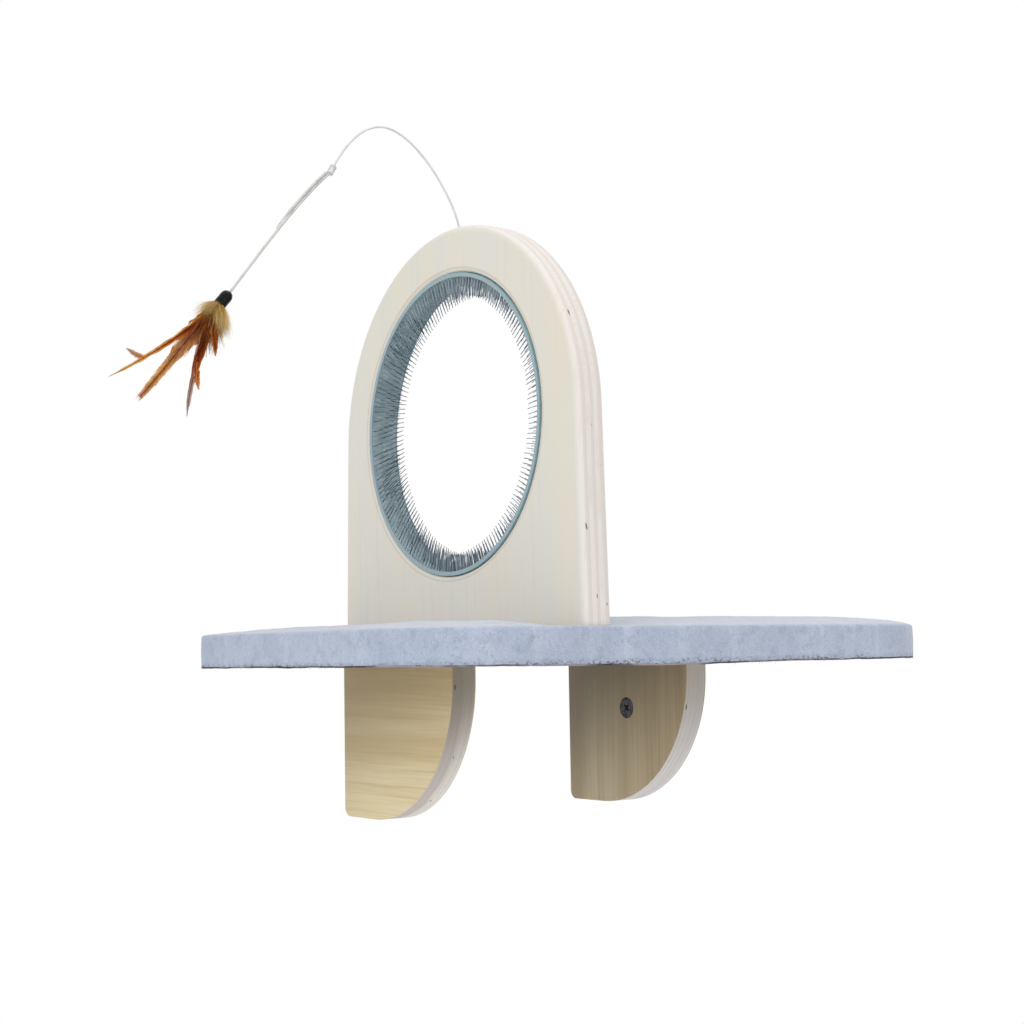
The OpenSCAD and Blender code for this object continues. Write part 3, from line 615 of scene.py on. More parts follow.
def plush(c):
    g = Graph("greyBluePlush")
    spot = g.place()
    x, y, z = g.split(spot)
    cloud = g.noise(spot, 0.028, 3, 0.55)
    brushed = g.streaks(x * 0.07, y * 0.07, z * 0.006, 2)
    blotch = g.noise(spot, 0.14, 4, 0.62)
    fibre = g.noise(spot, 0.7, 3, 0.65, 1.6)
    tips = g.noise(spot, 3.0, 2, 0.6)
    colour = g.mix(g.spread(cloud, 0.35, 0.68), c["pale"], c["base"])
    colour = g.mix(g.spread(brushed, 0.5, 0.7, 0, 0.35), colour, c["dust"])
    colour = g.mix(g.spread(blotch, 0.48, 0.72, 0, 0.5), colour, c["dim"])
    colour = g.mix(g.spread(fibre, 0.5, 0.7, 0, 0.75), colour, c["dim"])
    colour = g.mix(g.spread(fibre, 0.28, 0.45, 0.6, 0), colour, c["dust"])
    # painted light and sheen: the top is drawn paler
    onTop = g.spread(z + (fibre - 0.5) * 1.2, c["rim"] - 0.9, c["rim"] + 0.7, 0, c["paintedTopSheenShare"])
    colour = g.mix(onTop, colour, c["paintedTopSheen"])
    # dark flecks near the hem: partly its dark backing, partly painted shade under the hem
    flecks = g.streaks(x * 0.34, y * 0.34, z * 0.6, 3, 0.7)
    frayed = g.streaks(x * 0.018, y * 0.018, 0.0, 1)
    low = g.spread(z, c["hem"] + 0.2, c["hem"] + 3.4, 1, 0)
    colour = g.mix(low * g.spread(flecks + frayed * 0.3, 0.66, 0.74, 0, 0.8), colour, c["hemBackingAndShade"])
    height = fibre * 0.7 + tips * 0.35 + blotch * 0.5
    return g.finish(colour, 0.96, g.bump(height, 0.5, 0.8), Sheen_Weight=0.3,
                    Sheen_Roughness=0.45, IOR=1.4)


def addCover(c):
    e = c["edgeRadius"]
    halfW, halfD = c["wide"] / 2 - e, c["deep"] / 2 - e
    midY = -c["deep"] / 2
    low, high = c["slotLow"], c["slotHigh"]
    bm = bmesh.new()
    cellsX, cellsY = (round(2 * half / c["cell"]) for half in (halfW, halfD))
    bmesh.ops.create_grid(bm, x_segments=cellsX, y_segments=cellsY, size=1)
    bmesh.ops.scale(bm, verts=bm.verts, vec=(halfW, halfD, 1))
    cuts = [((x, 0, 0), (1, 0, 0)) for x in (low[0], high[0])]
    cuts += [((0, y - midY, 0), (0, 1, 0)) for y in (low[1], high[1])]
    for inset in c["rearCuts"]:
        cuts += [((x, 0, 0), (1, 0, 0)) for x in (halfW - inset, inset - halfW)]
        cuts.append(((0, halfD - inset, 0), (0, 1, 0)))
    for point, normal in cuts:
        bmesh.ops.bisect_plane(bm, geom=bm.verts[:] + bm.edges[:] + bm.faces[:],
                               plane_co=point, plane_no=normal)
    middles = [(f, f.calc_center_median()) for f in bm.faces]
    inside = [f for f, m in middles if low[0] < m.x < high[0] and low[1] < m.y + midY < high[1]]
    bmesh.ops.delete(bm, geom=inside, context="FACES")
    # round the plan and raise the crown
    for v in bm.verts:
        s = max(abs(v.co.x) / halfW, abs(v.co.y) / halfD)
        x, y = v.co.x, v.co.y
        if s > 0.2:
            f = 1 + (roundedShare(c, x / s, y / s, e) - 1) * s ** 4
            x, y = x * f, y * f
        y += midY
        toSlot = max(low[0] - x, x - high[0], low[1] - y, y - high[1])
        dip = c["tuck"] * exp(-max(toSlot, 0) / c["tuckReach"])
        soft = planNoise(x, y, 0.021, 3) + 0.5 * planNoise(x, y, 0.055, 9)
        height = c["crown"] * (1 - s ** 4) - dip * min(1, (1 - s) * 14)
        height += c["ripple"] * soft * min(1, (1 - s) * 9) * 2
        v.co = Vector((x, y, c["rim"] + height)) * mm
    relax(bm, c)
    carry(bm, Matrix.Scale(1 / mm, 4))  # in mm again

    def onRim(q):
        m = (q.verts[0].co + q.verts[1].co) / 2
        return coverEdge(c, m.x, m.y)[0] > -e - 0.3

    def extruded(edges, move):  # one more ring below a loop of open edges
        made = bmesh.ops.extrude_edge_only(bm, edges=edges)["geom"]
        for v in (q for q in made if isinstance(q, bmesh.types.BMVert)):
            move(v)
        return [q for q in made if isinstance(q, bmesh.types.BMEdge) and q.is_boundary]

    def wall(out, level):  # puts a ring's points at a distance inside the outline, at a level
        def move(v):
            d, way = coverEdge(c, v.co.x, v.co.y)
            v.co += way * (-out - d)
            v.co.z = level(v.co)
        return move

    # a round shoulder, then down to a wavy hem, in, and up to the board
    ring = [q for q in bm.edges if q.is_boundary and onRim(q)]
    slot = [q for q in bm.edges if q.is_boundary and not onRim(q)]
    for step in range(c["edgeSteps"]):
        a = radians(90 * (step + 1) / c["edgeSteps"])
        drop = e * (1 - cos(a))
        ring = extruded(ring, wall(e * (1 - sin(a)), lambda p: c["rim"] - drop))
    top = c["rim"] - e
    for share in (0.2, 0.4, 0.6, 0.8, 1.0):
        puff = c["puff"] * sin(pi * share)
        ring = extruded(ring, wall(-puff, lambda p: top + (hemLevel(c, p.x, p.y) - top) * share))
    ring = extruded(ring, wall(c["cloth"] * 0.5, lambda p: hemLevel(c, p.x, p.y) - 0.25))
    ring = extruded(ring, wall(c["cloth"], lambda p: hemLevel(c, p.x, p.y) + 0.1))
    outerLoop = extruded(ring, wall(c["cloth"], lambda p: c["boardTop"]))

    def tuckIn(v):
        v.co.z -= c["slotLip"]

    def toBoard(v):
        v.co.z = c["boardTop"]

    innerLoop = extruded(extruded(slot, tuckIn), toBoard)
    bmesh.ops.triangle_fill(bm, use_beauty=True, edges=outerLoop + innerLoop)
    carry(bm, Matrix.Scale(mm, 4))
    bmesh.ops.recalc_face_normals(bm, faces=bm.faces)
    piece = asPiece(bm, "plushCover", "platform", plush(c), ("plush_cover", "foam_pad"))


addCover(cover)
print("cover done")

hem = {
    "thread": 0.6, "lumps": 0.38, "points": 520,  # the rolled edge's half thickness and lumps, mm
    "fray": 1500, "frayLong": (0.9, 2.6),
    # the rolled edge's dark colour is partly the hem's dark backing, partly painted shade under the
    # hem
    "edge": (62, 58, 70), "paleEdge": (150, 140, 146), "tuft": (128, 126, 140),
}


def planPoint(c, share, inset):  # a point of the cover's outline, by angle share round its middle
    a = 2 * pi * share
    x, y = cos(a), sin(a)
    reach = min(c["wide"] / 2 / max(abs(x), 1e-6), c["deep"] / 2 / max(abs(y), 1e-6))
    k = roundedShare(c, x * reach, y * reach, inset)
    return x * reach * k, y * reach * k - c["deep"] / 2


def addHem(h, c):
    route, radii = [], []
    for i in range(h["points"] + 1):
        x, y = planPoint(c, i / h["points"], 0.55)
        lump = planNoise(x, y, 0.3, 2) + 0.8 * planNoise(x, y, 0.06, 4)
        route.append(Vector((x, y, hemLevel(c, x, y) - 0.5 + 0.25 * lump)) * mm)
        radii.append((h["thread"] + h["lumps"] * lump) * mm)
    roll = tubeMesh(route, radii, 8)
    setValues(roll, shade=[0.0] * len(roll.vertices))
    bm = bmesh.new()
    bm.from_mesh(roll)
    draw = random.Random(4)
    hair = strand(0.05, 3, 0.3)
    for fibre in range(h["fray"]):
        x, y = planPoint(c, draw.random(), 0.6)
        way = coverEdge(c, x, y)[1]
        start = Vector((x, y, hemLevel(c, x, y) - 0.3)) * mm
        along = Vector((-way.y, way.x, 0)) * draw.uniform(-1.4, 1.4)
        lean = way * draw.uniform(-0.5, 0.12) + along
        lean.z -= draw.uniform(0.1, 0.5)
        size = draw.uniform(*h["frayLong"]) * mm
        shade = draw.random()
        stamp(bm, hair, start, frameOf(lean, Vector((0, 0, 1))), size, shade=(shade, shade))
    g = Graph("hemEdge")
    spot = g.place()
    patch = g.noise(spot, 0.16, 3, 0.6)
    stretch = g.noise(spot, 0.016, 1)
    # the dark roll is partly the hem's dark backing, partly painted shade under the hem
    colour = g.mix(g.spread(stretch + patch * 0.35, 0.55, 0.78), h["edge"], h["paleEdge"])
    colour = g.mix(g.spread(g.value("shade") + patch, 0.6, 1.6), colour, h["tuft"])
    finish = g.finish(colour, 0.95, g.bump(patch, 0.1, 0.5))
    asPiece(bm, "coverHem", "platform", finish)


addHem(hem, cover)
print("hem done")

brush = {
    "middle": (-96, -132, 194.49), "outer": 94.34, "inner": 92.34, "half": 10,  # mm
    "bands": 8, "joint": 0.12, "lip": 0.5,  # joint is the gap between two arcs
    "rows": 5, "rowsWide": 16, "pitch": 3.3, "stagger": (0.78, 0.28),
    "pin": (11.5, 12.0), "root": 0.032,  # root radius as a share of length
    "band": (162, 180, 184), "bandDark": (138, 160, 166),
    "rim": (128, 168, 172), "rimFrom": (93.4, 93.7),
    "pinLight": (150, 164, 170), "pinDark": (70, 86, 96), "pinTip": (52, 64, 72),
}


def brushFinish(b):
    g = Graph("tealBrush")
    shade, along = g.value("shade"), g.value("along")
    spot = g.place()
    cloud = g.noise(spot, 0.12, 3)
    grit = g.noise(spot, 3.0, 2)
    band = g.mix(g.spread(cloud, 0.35, 0.65), b["band"], b["bandDark"])
    x, y, z = g.split(spot)
    reach = ((y - b["middle"][1]) ** 2.0 + (z - b["middle"][2]) ** 2.0) ** 0.5
    offMiddle = g.spread(abs(x - b["middle"][0]), b["half"] - 1.0, b["half"] - 0.6)
    band = g.mix(offMiddle, band, b["pinLight"])
    band = g.mix(offMiddle * g.spread(reach, *b["rimFrom"]), band, b["rim"])
    # the pins' shade value holds a random tone plus painted light on the pins overhead
    pin = g.mix(g.spread(shade, 0.25, 0.95), b["pinDark"], b["pinLight"])
    pin = g.mix(g.spread(along, 0.7, 1.0, 0, 0.7), pin, b["pinTip"])
    colour = g.mix(g.spread(shade, 0.0, 0.02), band, pin)
    return g.finish(colour, 0.42 + grit * 0.12, g.bump(grit, 0.03, 0.4))


def addBrush(b):
    material = brushFinish(b)
    middle = Vector(b["middle"]) * mm
    step = 2 * pi / b["bands"]
    gapAngle = b["joint"] / b["inner"]
    arc = step - gapAngle
    draw = random.Random(11)
    pin = strand(b["root"], 3, 0.07, 5, 0.6)
    perBand = round(step * b["inner"] / b["pitch"])
    h, lip, outer, inner = b["half"], b["lip"], b["outer"], b["inner"]
    # section of the band: through the panel's thickness, and outwards
    section = [(-h, outer), (h, outer), (h, inner - lip), (h - lip, inner - lip), (h - 2 * lip, inner),
               (2 * lip - h, inner), (lip - h, inner - lip), (-h, inner - lip)]
    for index in range(b["bands"]):
        first = index * step + gapAngle / 2
        bm = bmesh.new()
        spunRing(bm, [(x * mm, 0, r * mm) for x, r in section], (1, 0, 0), arc, 10, False)
        bmesh.ops.holes_fill(bm, edges=[q for q in bm.edges if q.is_boundary], sides=0)
        bmesh.ops.recalc_face_normals(bm, faces=bm.faces)
        carry(bm, Matrix.Translation(middle) @ Matrix.Rotation(first - pi / 2, 4, "X"))
        bm.verts.layers.float.new("shade")
        bm.verts.layers.float.new("along")
        for row in range(b["rows"]):
            x = (row - (b["rows"] - 1) / 2) * b["rowsWide"] / (b["rows"] - 1)
            for i in range(perBand):
                a = first + (i + b["stagger"][row % 2]) / perBand * arc + draw.uniform(-0.0012, 0.0012)
                out = Vector((0, cos(a), sin(a)))
                root = middle + Vector((x * mm, 0, 0)) + out * ((inner + 0.3) * mm)
                side = Vector((0, -sin(a), cos(a)))
                lean = -out + side * draw.uniform(-0.025, 0.025)
                lean.x += draw.uniform(-0.03, 0.03)
                size = draw.uniform(*b["pin"]) * mm
                turn = frameOf(lean, side + Vector((draw.uniform(-0.3, 0.3), 0, 0)))
                glow = 0.4 * max(0, sin(a)) ** 4  # painted light: pins overhead are drawn paler
                shade = min(draw.uniform(0.1, 1.0) + glow, 1)
                stamp(bm, pin, root, turn, size, shade=(shade, shade), along=(0, 1))
        asPiece(bm, "brushBand%d" % (index + 1), "platform", material,
                ("brush_band_%d" % (index + 1),), smooth=False)


addBrush(brush)
print("brush done")

lure = {  # mm, slopes in degrees, places and depths of the clip's pinches as shares
    "plane": -132, "x": -96, "mouth": 318.98, "foot": 305.0, "gap": 0.7, "wire": 0.72,
    "crest": (-151.7, 375.68), "crestReach": 55.7, "clipReach": 35.2, "clipFall": 30,
    "clipEnd": (-186.9, 345.68), "clipSlope": 60, "clipLong": 5.6, "clipRadius": 2.15,
    "clipRound": 0.34, "pinches": (0.17, -0.2), "pinchWide": 0.085, "pinchDeep": 0.26,
    "rodStart": (-189.7, 340.83), "rodSlope": 50, "rodLong": 111, "rod": 0.82, "rodSteps": 12,
    "rodBow": 2.2, "bead": 1.1,
    "capLong": 14, "capRadius": 3.76,
}


def inPlane(x, z):
    return Vector((x, lure["plane"], z)) * mm


def downhill(slope):  # direction to the left and down in the lure's plane
    a = radians(slope)
    return Vector((-cos(a), 0, -sin(a)))


rodWay = downhill(lure["rodSlope"])
rodSide = Vector((rodWay.z, 0, -rodWay.x))
clipWay = downhill(lure["clipSlope"])


def wirePath(u):  # the foot, then the two curves of the spring wire
    start = inPlane(u["x"], u["mouth"] + u["gap"])
    crest, end = inPlane(*u["crest"]), inPlane(*u["clipEnd"])
    rise = (u["crest"][1] - u["mouth"] - u["gap"]) * mm
    first = [start, start + Vector((-3 * mm, 0, rise * 0.31)),
             crest + Vector((u["crestReach"] * 0.44, 0, 1.3)) * mm, crest]
    second = [crest, crest + Vector((-u["clipReach"] * 0.41, 0, -0.8)) * mm,
              end - clipWay * u["clipFall"] * 0.6 * mm, end]
    path = [inPlane(u["x"], u["foot"] + 0.5 + i) for i in range(int(u["mouth"] - u["foot"]))]
    path += [bezier(first, i / 44) for i in range(44)]
    path += [bezier(second, i / 26) for i in range(27)]
    return path + [end + clipWay * 2 * mm]


def coated(name, light, dark, rough, metallic):
    g = Graph(name)
    spot = g.place()
    cloud = g.noise(spot, 0.12, 3)
    fine = g.noise(spot, 3.0, 2)
    colour = g.mix(g.spread(cloud, 0.35, 0.7), light, dark)
    return g.finish(colour, rough + fine * 0.08, g.bump(cloud, 0.02, 0.3), Metallic=metallic)


def addWire(u):
    path = wirePath(u)
    bm = bmesh.new()
    bm.from_mesh(tubeMesh(path, [u["wire"] * mm] * len(path), 12))
    finish = coated("paleSpringWire", (213, 213, 212), (202, 202, 201), 0.45, 0.0)
    piece = asPiece(bm, "springWire", None, finish, ("spring_wire", "wire_foot"))
    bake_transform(piece)


def addClip(u):  # crimped sleeve, pinched twice
    bm = bmesh.new()
    long, r = u["clipLong"] * mm, u["clipRadius"] * mm
    bmesh.ops.create_cone(bm, segments=24, radius1=r, radius2=r, depth=long, cap_ends=True)
    walls = [e for e in bm.edges if abs(e.verts[0].co.z - e.verts[1].co.z) > long / 2]
    bmesh.ops.subdivide_edges(bm, edges=walls, cuts=13)
    rims = [e for e in bm.edges if any(len(f.verts) > 8 for f in e.link_faces)]
    bmesh.ops.bevel(bm, geom=rims, offset=u["clipRound"] * mm, segments=3, affect="EDGES",
                    profile=0.5, material=-1)
    for v in bm.verts:
        t = v.co.z / long
        pinch = sum(exp(-((t - p) / u["pinchWide"]) ** 2) for p in u["pinches"])
        v.co.y *= 1 - u["pinchDeep"] * pinch
        v.co.x *= 1 + 0.04 * pinch
    bmesh.ops.recalc_face_normals(bm, faces=bm.faces)
    turn = clipWay.to_track_quat("Z", "Y").to_matrix().to_4x4()
    middle = inPlane(*u["clipEnd"]) + clipWay * (long / 2)
    carry(bm, Matrix.Translation(middle) @ turn)
    finish = coated("crimpMetal", (206, 207, 208), (180, 181, 184), 0.4, 0.35)
    asPiece(bm, "wireClip", "wire", finish, ("wire_clip",))


def rodPoint(u, t):
    last = u["rodSteps"] - 1
    bow = u["rodBow"] * sin(pi * min(t * u["rodSteps"] / last, 1) ** 0.7)
    return inPlane(*u["rodStart"]) + rodWay * (u["rodLong"] * t * mm) + rodSide * (bow * mm)


def addRod(u):
    bm = bmesh.new()
    main = [rodPoint(u, i / 60) for i in range(61)]
    bm.from_mesh(tubeMesh(main, [u["rod"] * mm] * len(main), 12))
    # the wire's folded end lies along the rod, thins out and closes in on it
    tail, width = [], []
    for i in range(31):
        off = 2 * u["rod"] + 0.06 - 0.07 * max(i - 26, 0)
        tail.append(rodPoint(u, 0.012 + 0.46 * i / 30) + rodSide * (off * mm))
        width.append(u["rod"] * mm * (1 - 0.075 * max(i - 21, 0)))
    bm.from_mesh(tubeMesh(tail, width, 12))
    bmesh.ops.create_uvsphere(bm, u_segments=16, v_segments=10, radius=u["bead"] * mm,
                              matrix=Matrix.Translation(rodPoint(u, 0.002)))
    finish = coated("offWhiteRod", (204, 202, 197), (188, 186, 180), 0.45, 0.0)
    asPiece(bm, "teaserRod", "teaser", finish, ("teaser_rod",))


def atCap(u):  # the cap's own frame: +Z down the rod, +X up and to the left
    z = rodWay
    x = Vector((z.z, 0, -z.x))
    place = inPlane(*u["rodStart"]) + rodWay * ((u["rodLong"] - u["capLong"] / 2) * mm)
    turn = Matrix((x, z.cross(x), z)).transposed().to_4x4()
    return Matrix.Translation(place) @ turn @ Matrix.Scale(mm, 4)


def addCap(u):  # shrunk black sleeve with soft dents
    r, long = u["capRadius"], u["capLong"]
    section = [(0.9, 0.5), (1.5, 0.15), (2.1, 0.3), (2.7, 0.75), (3.2, 1.5), (3.55, 2.4), (r, 3.0),
               (r - 0.1, 3.4), (r, 3.9), (r, 5.7), (r - 0.1, 6.2), (r, 6.7), (r, 9), (r - 0.1, 9.5),
               (r, 10), (r, long - 1.2), (r, long - 0.4), (r - 0.15, long - 0.1), (r - 0.4, long),
               (r - 0.75, long - 0.3), (r - 0.85, long - 1.5), (r - 0.9, 4.6), (0.86, 4.1)]
    bm = bmesh.new()
    spunRing(bm, [(x, 0, z) for x, z in section], (0, 0, 1), 2 * pi, 40, True)
    for v in bm.verts:
        dent = 1 - 0.018 * (1 + noise.noise(v.co * 0.35))
        v.co.x *= dent
        v.co.y *= dent
    bmesh.ops.recalc_face_normals(bm, faces=bm.faces)
    carry(bm, atCap(u))
    g = Graph("blackSleeve")
    spot = g.place()
    dents = g.noise(spot, 0.55, 3, 0.55)
    fine = g.noise(spot, 3.0, 2)
    colour = g.mix(g.spread(dents, 0.3, 0.8), (2, 2, 2), (7, 6, 6))
    finish = g.finish(colour, 0.2 + dents * 0.16, g.bump(dents + fine * 0.2, 0.4, 0.8), IOR=1.24)
    asPiece(bm, "featherCap", "teaser", finish, ("feather_cap",))


addWire(lure)
addClip(lure)
addRod(lure)
addCap(lure)
print("wire, clip, rod and cap done")

feathers = {
    "reach": 77.5,
    "barbs": 190, "barb": 0.013,  # barbs a side, their radius as a share of length
    "vane": 0.12, "quill": 0.4, "shaft": (0.34, 0.26),  # thickness, radii and the shaft's taper, mm
    "stops": ((0.0, (74, 22, 4)), (0.25, (146, 58, 14)), (0.5, (200, 118, 42)),
              (0.75, (219, 164, 84)), (1.0, (237, 212, 166))),
    "grey": (190, 174, 168),
}
# widths, warmth (0 dark red-brown, 1 pale gold) and greyness run from a blade's root to its tip;
# a fork has its start along the blade and its reach, then widths, warmth and greyness
featherPieces = {
    "featherLong": {
        "node": "feather_long", "slot": "feather_rust",
        "turn": 340, "off": 1.7, "tip": (0.29, -0.08, 1), "bow": (-1, 0, 6),
        "wide": (1.2, 2.9, 2.8, 2.1, 1.8, 1.3, 0.3),
        "warm": (0.3, 0.12, 0.18, 0.38, 0.64, 0.74, 0.9),
        "grey": (0, 0, 0, 0, 0, 0, 0.3), "gold": (0.5, 0.1),
        "forks": (((0.7, (11.6, -2, 6)), (1.1, 2.2, 1.8, 0.4), (0.5, 0.55, 0.6, 0.6),
                   (0.1, 0.4, 0.7, 0.9)),),
    },
    "featherBroad": {
        "node": "feather_broad", "slot": "feather_rust",
        "turn": 50, "off": 1.7, "tip": (0.005, 0.02, 0.915), "bow": (0, 0, 4),
        "wide": (1.5, 6.2, 8.2, 5.2, 3.8, 3.3, 2.2),
        "warm": (0.26, 0.24, 0.3, 0.4, 0.5, 0.52, 0.3),
        "grey": (0, 0.1, 0.3, 0.35, 0.3, 0.25, 0.45), "gold": (0.5, 0.4),
    },
    "featherDark": {
        "node": "feather_dark", "slot": "feather_dark",
        "turn": 180, "off": 1.7, "tip": (-0.355, 0.03, 0.76), "bow": (2, 0, 6),
        "wide": (1.5, 4.0, 4.4, 4.0, 2.4, 2.0, 0.4),
        "warm": (0.3, 0.12, 0.1, 0.16, 0.3, 0.35, 0.35),
        "grey": (0, 0, 0, 0.1, 0.6, 0.8, 0.9), "gold": (0.12, 0.2),
        "forks": (((0.56, (-11, 1, 11)), (1.8, 2.8, 2.2, 0.5), (0.2, 0.35, 0.5, 0.6),
                   (0, 0.1, 0.2, 0.5)),),
    },
    "featherShort": {
        "node": "feather_short", "slot": "feather_rust",
        "turn": 110, "off": 2.6, "tip": (-0.16, 0.1, 0.35), "bow": (0, 3, 2),
        "wide": (1.6, 4.2, 4.0, 2.8, 0.6), "warm": (0.4, 0.25, 0.15, 0.2, 0.3),
        "grey": (0, 0, 0, 0.1, 0.4), "gold": (0.2, 0.2),
    },
    "featherSmall": {
        "node": "feather_small", "slot": "feather_rust",
        "turn": 250, "off": 1.7, "tip": (-0.2, -0.09, 0.31), "bow": (0, -2, 2),
        "wide": (1.6, 4.0, 3.8, 2.6, 0.6), "warm": (0.45, 0.3, 0.2, 0.25, 0.4),
        "grey": (0, 0, 0, 0.1, 0.4), "gold": (0.2, 0.2),
    },
}


def featherPath(f, q, count):
    a = radians(q["turn"])
    end = Vector(q["tip"]) * f["reach"]
    root = Vector((q["off"] * cos(a), q["off"] * sin(a), 5))
    mouth = Vector((root.x, root.y, lure["capLong"] + 0.5))
    high = Vector((0, 0, lure["capLong"]))
    control = [mouth, mouth + Vector((0, 0, end.length * 0.15)),
               end * 0.6 + Vector(q["bow"]) + high, end + high]
    return root, [bezier(control, i / (count - 1)) for i in range(count)]


def pointOn(path, t):  # place, direction and the blade's own across and thickness
    spot = min(t * (len(path) - 1), len(path) - 1.001)
    k = int(spot)
    way = (path[k + 1] - path[k]).normalized()
    across = way.cross(Vector((0.1, 1, 0.05))).normalized()
    return path[k].lerp(path[k + 1], spot - k), way, across, across.cross(way)


def addTube(bm, points, radii, warm):  # a quill or shaft
    tube = tubeMesh(points, radii, 8)
    count = len(tube.vertices)
    setValues(tube, warm=[warm] * count, grey=[0.0] * count)
    bm.from_mesh(tube)


# a thin vane with its shaft, and the barbs that fray its edges
def addBlade(bm, f, path, wide, warm, grey, gold, barbs, seed, shaftWarm=0.05):
    draw = random.Random(seed)
    sheet = bmesh.new()
    bmesh.ops.create_grid(sheet, x_segments=70, y_segments=8, size=1)
    warmOf, greyOf = {}, {}
    for v in sheet.verts:
        t, s = (v.co.x + 1) / 2, v.co.y
        point, way, across, thick = pointOn(path, 0.02 + 0.965 * t)
        ragged = 0.74 + 0.24 * noiseAt(t * 14, seed, copysign(2, s))
        width = profile(wide, t) * ragged
        lean = abs(s) * width * 0.9
        curl = 0.12 * width * (1 - s * s) - 0.05 * width
        v.co = point + across * (s * width) + way * lean * 0.5 + thick * curl
        barbing = noiseAt(t * 90 - abs(s) * 5, s * 1.2, seed)
        warmOf[v.index] = profile(warm, t) + gold[0 if s < 0 else 1] * abs(s) ** 1.5 + 0.26 * barbing
        greyOf[v.index] = profile(grey, t)
    bmesh.ops.solidify(sheet, geom=sheet.faces[:], thickness=f["vane"])
    mesh = meshFrom(sheet, "vane")
    source = [i % len(warmOf) for i in range(len(mesh.vertices))]  # both sides take the same values
    setValues(mesh, warm=[warmOf[k] for k in source], grey=[greyOf[k] for k in source])
    bm.from_mesh(mesh)
    bpy.data.meshes.remove(mesh)
    root, taper = f["shaft"]
    addTube(bm, path, [root - taper * i / len(path) for i in range(len(path))], shaftWarm)
    barb = strand(f["barb"], 4, 0.2)
    for i in range(barbs):
        t = 0.02 + 0.975 * (i + draw.random() * 0.8) / barbs
        point, way, across, thick = pointOn(path, t)
        width = profile(wide, t)
        clump = noiseAt(t * 9, seed, 0)
        for hand in (0, 1):
            side = hand * 2 - 1
            split = noiseAt(t * 8, seed + 3 * side, 4)
            angle = radians(25 + 8 * clump + 12 * (1 - t) + draw.uniform(-4, 4))
            out = way * cos(angle) + across * (side * sin(angle))
            out += thick * (0.3 * split + draw.uniform(-0.1, 0.1))
            size = width / sin(angle) * draw.uniform(0.74, 1.0) * (1 + 0.3 * split)
            size *= min(1, (1.06 - t) * 8)
            base = profile(warm, t) + 0.25 * noiseAt(t * 26, seed * 2 + hand, 1)
            base += draw.uniform(-0.1, 0.1)
            ash = profile(grey, t)
            stamp(bm, barb, point, frameOf(out, way), max(size, 1.2),
                  warm=(base, base + gold[hand]), grey=(ash, ash))


def plume(name, f):  # the finish that all feathers share, read from their warmth and greyness
    g = Graph(name)
    spot = g.place()
    band = g.noise(spot, 0.25, 2)
    fine = g.noise(spot, 1.6, 2)
    colour = g.ramp(g.value("warm") + (band - 0.5) * 0.16 + (fine - 0.5) * 0.12, f["stops"])
    ash = g.value("grey") + (fine - 0.5) * 0.2
    colour = g.mix(g.spread(ash, 0.1, 1.0, 0, 0.9), colour, f["grey"])
    return g.finish(colour, 0.68 + fine * 0.15, g.bump(fine, 0.05, 0.3),
                    Specular_IOR_Level=0.15)


def addFeather(f, name, q, seed, finish):
    root, path = featherPath(f, q, 40)
    bm = bmesh.new()
    radii = [f["quill"], f["quill"], f["shaft"][0]]
    addTube(bm, [root, (root + path[0]) / 2, path[0]], radii, 0.1)
    barbs = f["barbs"] if len(q["wide"]) > 6 else f["barbs"] // 2
    addBlade(bm, f, path, q["wide"], q["warm"], q["grey"], q["gold"], barbs, seed)
    for (start, reach), wide, warm, grey in q.get("forks", ()):
        point, way = pointOn(path, start)[:2]
        end = point + Vector(reach)
        control = [point, point + way * 4, point.lerp(end, 0.6) + way * 1.5, end]
        fork = [bezier(control, i / 15) for i in range(16)]
        addBlade(bm, f, fork, wide, warm, grey, (0.1, 0.1), 50, seed + 40, 0.45)
    carry(bm, atCap(lure))
    asPiece(bm, name, "teaser", finish, (q["node"],))


plumeFinish = plume("rustPlume", feathers)
for seed, (name, q) in enumerate(featherPieces.items()):
    addFeather(feathers, name, q, seed + 5, plumeFinish)
print("feathers done")

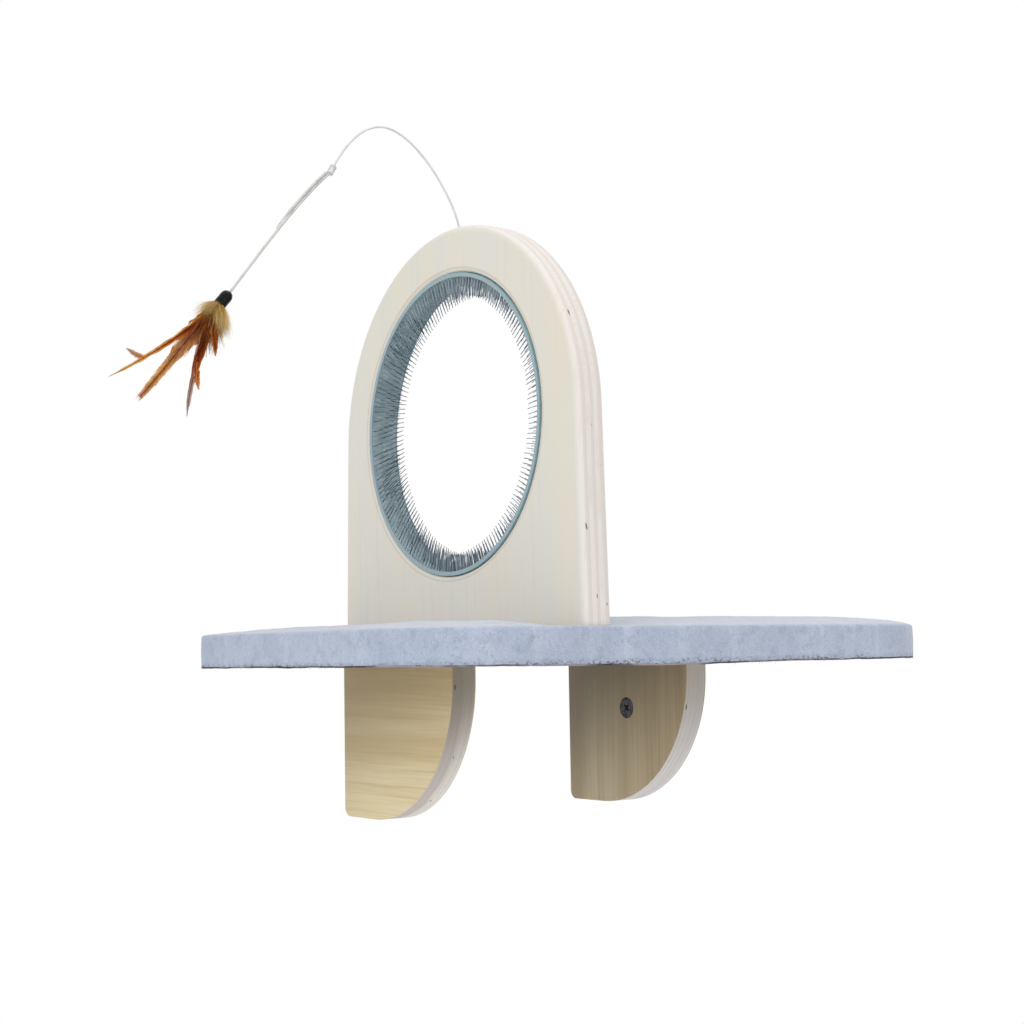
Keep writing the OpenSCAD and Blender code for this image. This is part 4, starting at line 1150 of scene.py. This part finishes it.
down = {
    "hair": 0.0075,  # a hair's radius as a share of its length
    "rise": 4.5, "spread": 2.9,  # depth and radius of the roots in the cap, mm
    # direction in the cap's frame, its scatter, lengths, count, warmth, greyness
    "tufts": (
        ((0.85, -0.25, 0.85), 0.3, (7, 11.5), 620, (0.62, 0.92), 0.3),
        ((0.5, 0.6, 0.9), 0.34, (8, 14), 260, (0.55, 0.85), 0.1),
        ((0.1, -0.8, 0.8), 0.34, (7, 12), 340, (0.55, 0.85), 0.1),
        ((-0.95, -0.3, 0.62), 0.34, (10, 18), 520, (0.55, 0.9), 0.05),
        ((-0.6, 0.5, 0.8), 0.3, (10, 17), 260, (0.55, 0.85), 0.15),
        ((-0.5, -0.75, 0.75), 0.34, (9, 16), 280, (0.5, 0.9), 0.05),
        ((-0.06, 0.0, 1.0), 0.2, (16, 26), 320, (0.3, 0.22), 0.0),
        ((-0.9, -0.2, 0.75), 0.22, (14, 20), 60, (0.9, 0.95), 0.85),
    ),
    "fall": Vector((-0.643, 0, 0.766)),  # straight down, in the cap's frame
    "stops": ((0.0, (80, 34, 10)), (0.3, (154, 86, 32)), (0.6, (196, 153, 76)),
              (0.85, (220, 188, 112)), (1.0, (236, 217, 164))),
}


def addDown(d, u):
    draw = random.Random(31)
    bm = bmesh.new()
    hair = strand(d["hair"], 5, 0.34)
    for way, scatter, lengths, count, (warmFirst, warmLast), grey in d["tufts"]:
        for fibre in range(count):
            a = draw.uniform(0, 2 * pi)
            r = d["spread"] * sqrt(draw.random())
            depth = draw.uniform(0.5, d["rise"])
            start = Vector((cos(a) * r, sin(a) * r, u["capLong"] - depth))
            jitter = Vector((draw.gauss(0, 1), draw.gauss(0, 1), draw.gauss(0, 0.5))) * scatter
            aim = (Vector(way) + jitter + Vector((start.x, start.y, 0)) * 0.06).normalized()
            tuft = noiseAt(aim.x * 3, aim.y * 3, 8)
            size = draw.uniform(*lengths) * (1 + 0.25 * tuft)
            sway = Vector((draw.uniform(-0.3, 0.3), draw.uniform(-0.3, 0.3), 0))
            wobble = draw.uniform(-0.15, 0.15) + 0.2 * tuft
            stamp(bm, hair, start, frameOf(aim, d["fall"] + sway), size,
                  warm=(warmFirst + wobble, warmLast + wobble), grey=(grey * 0.5, grey))
    carry(bm, atCap(u))
    finish = plume("khakiDown", dict(feathers, stops=d["stops"]))
    asPiece(bm, "downTuft", "teaser", finish, ("down_feathers",))


addDown(down, lure)
print("down done")
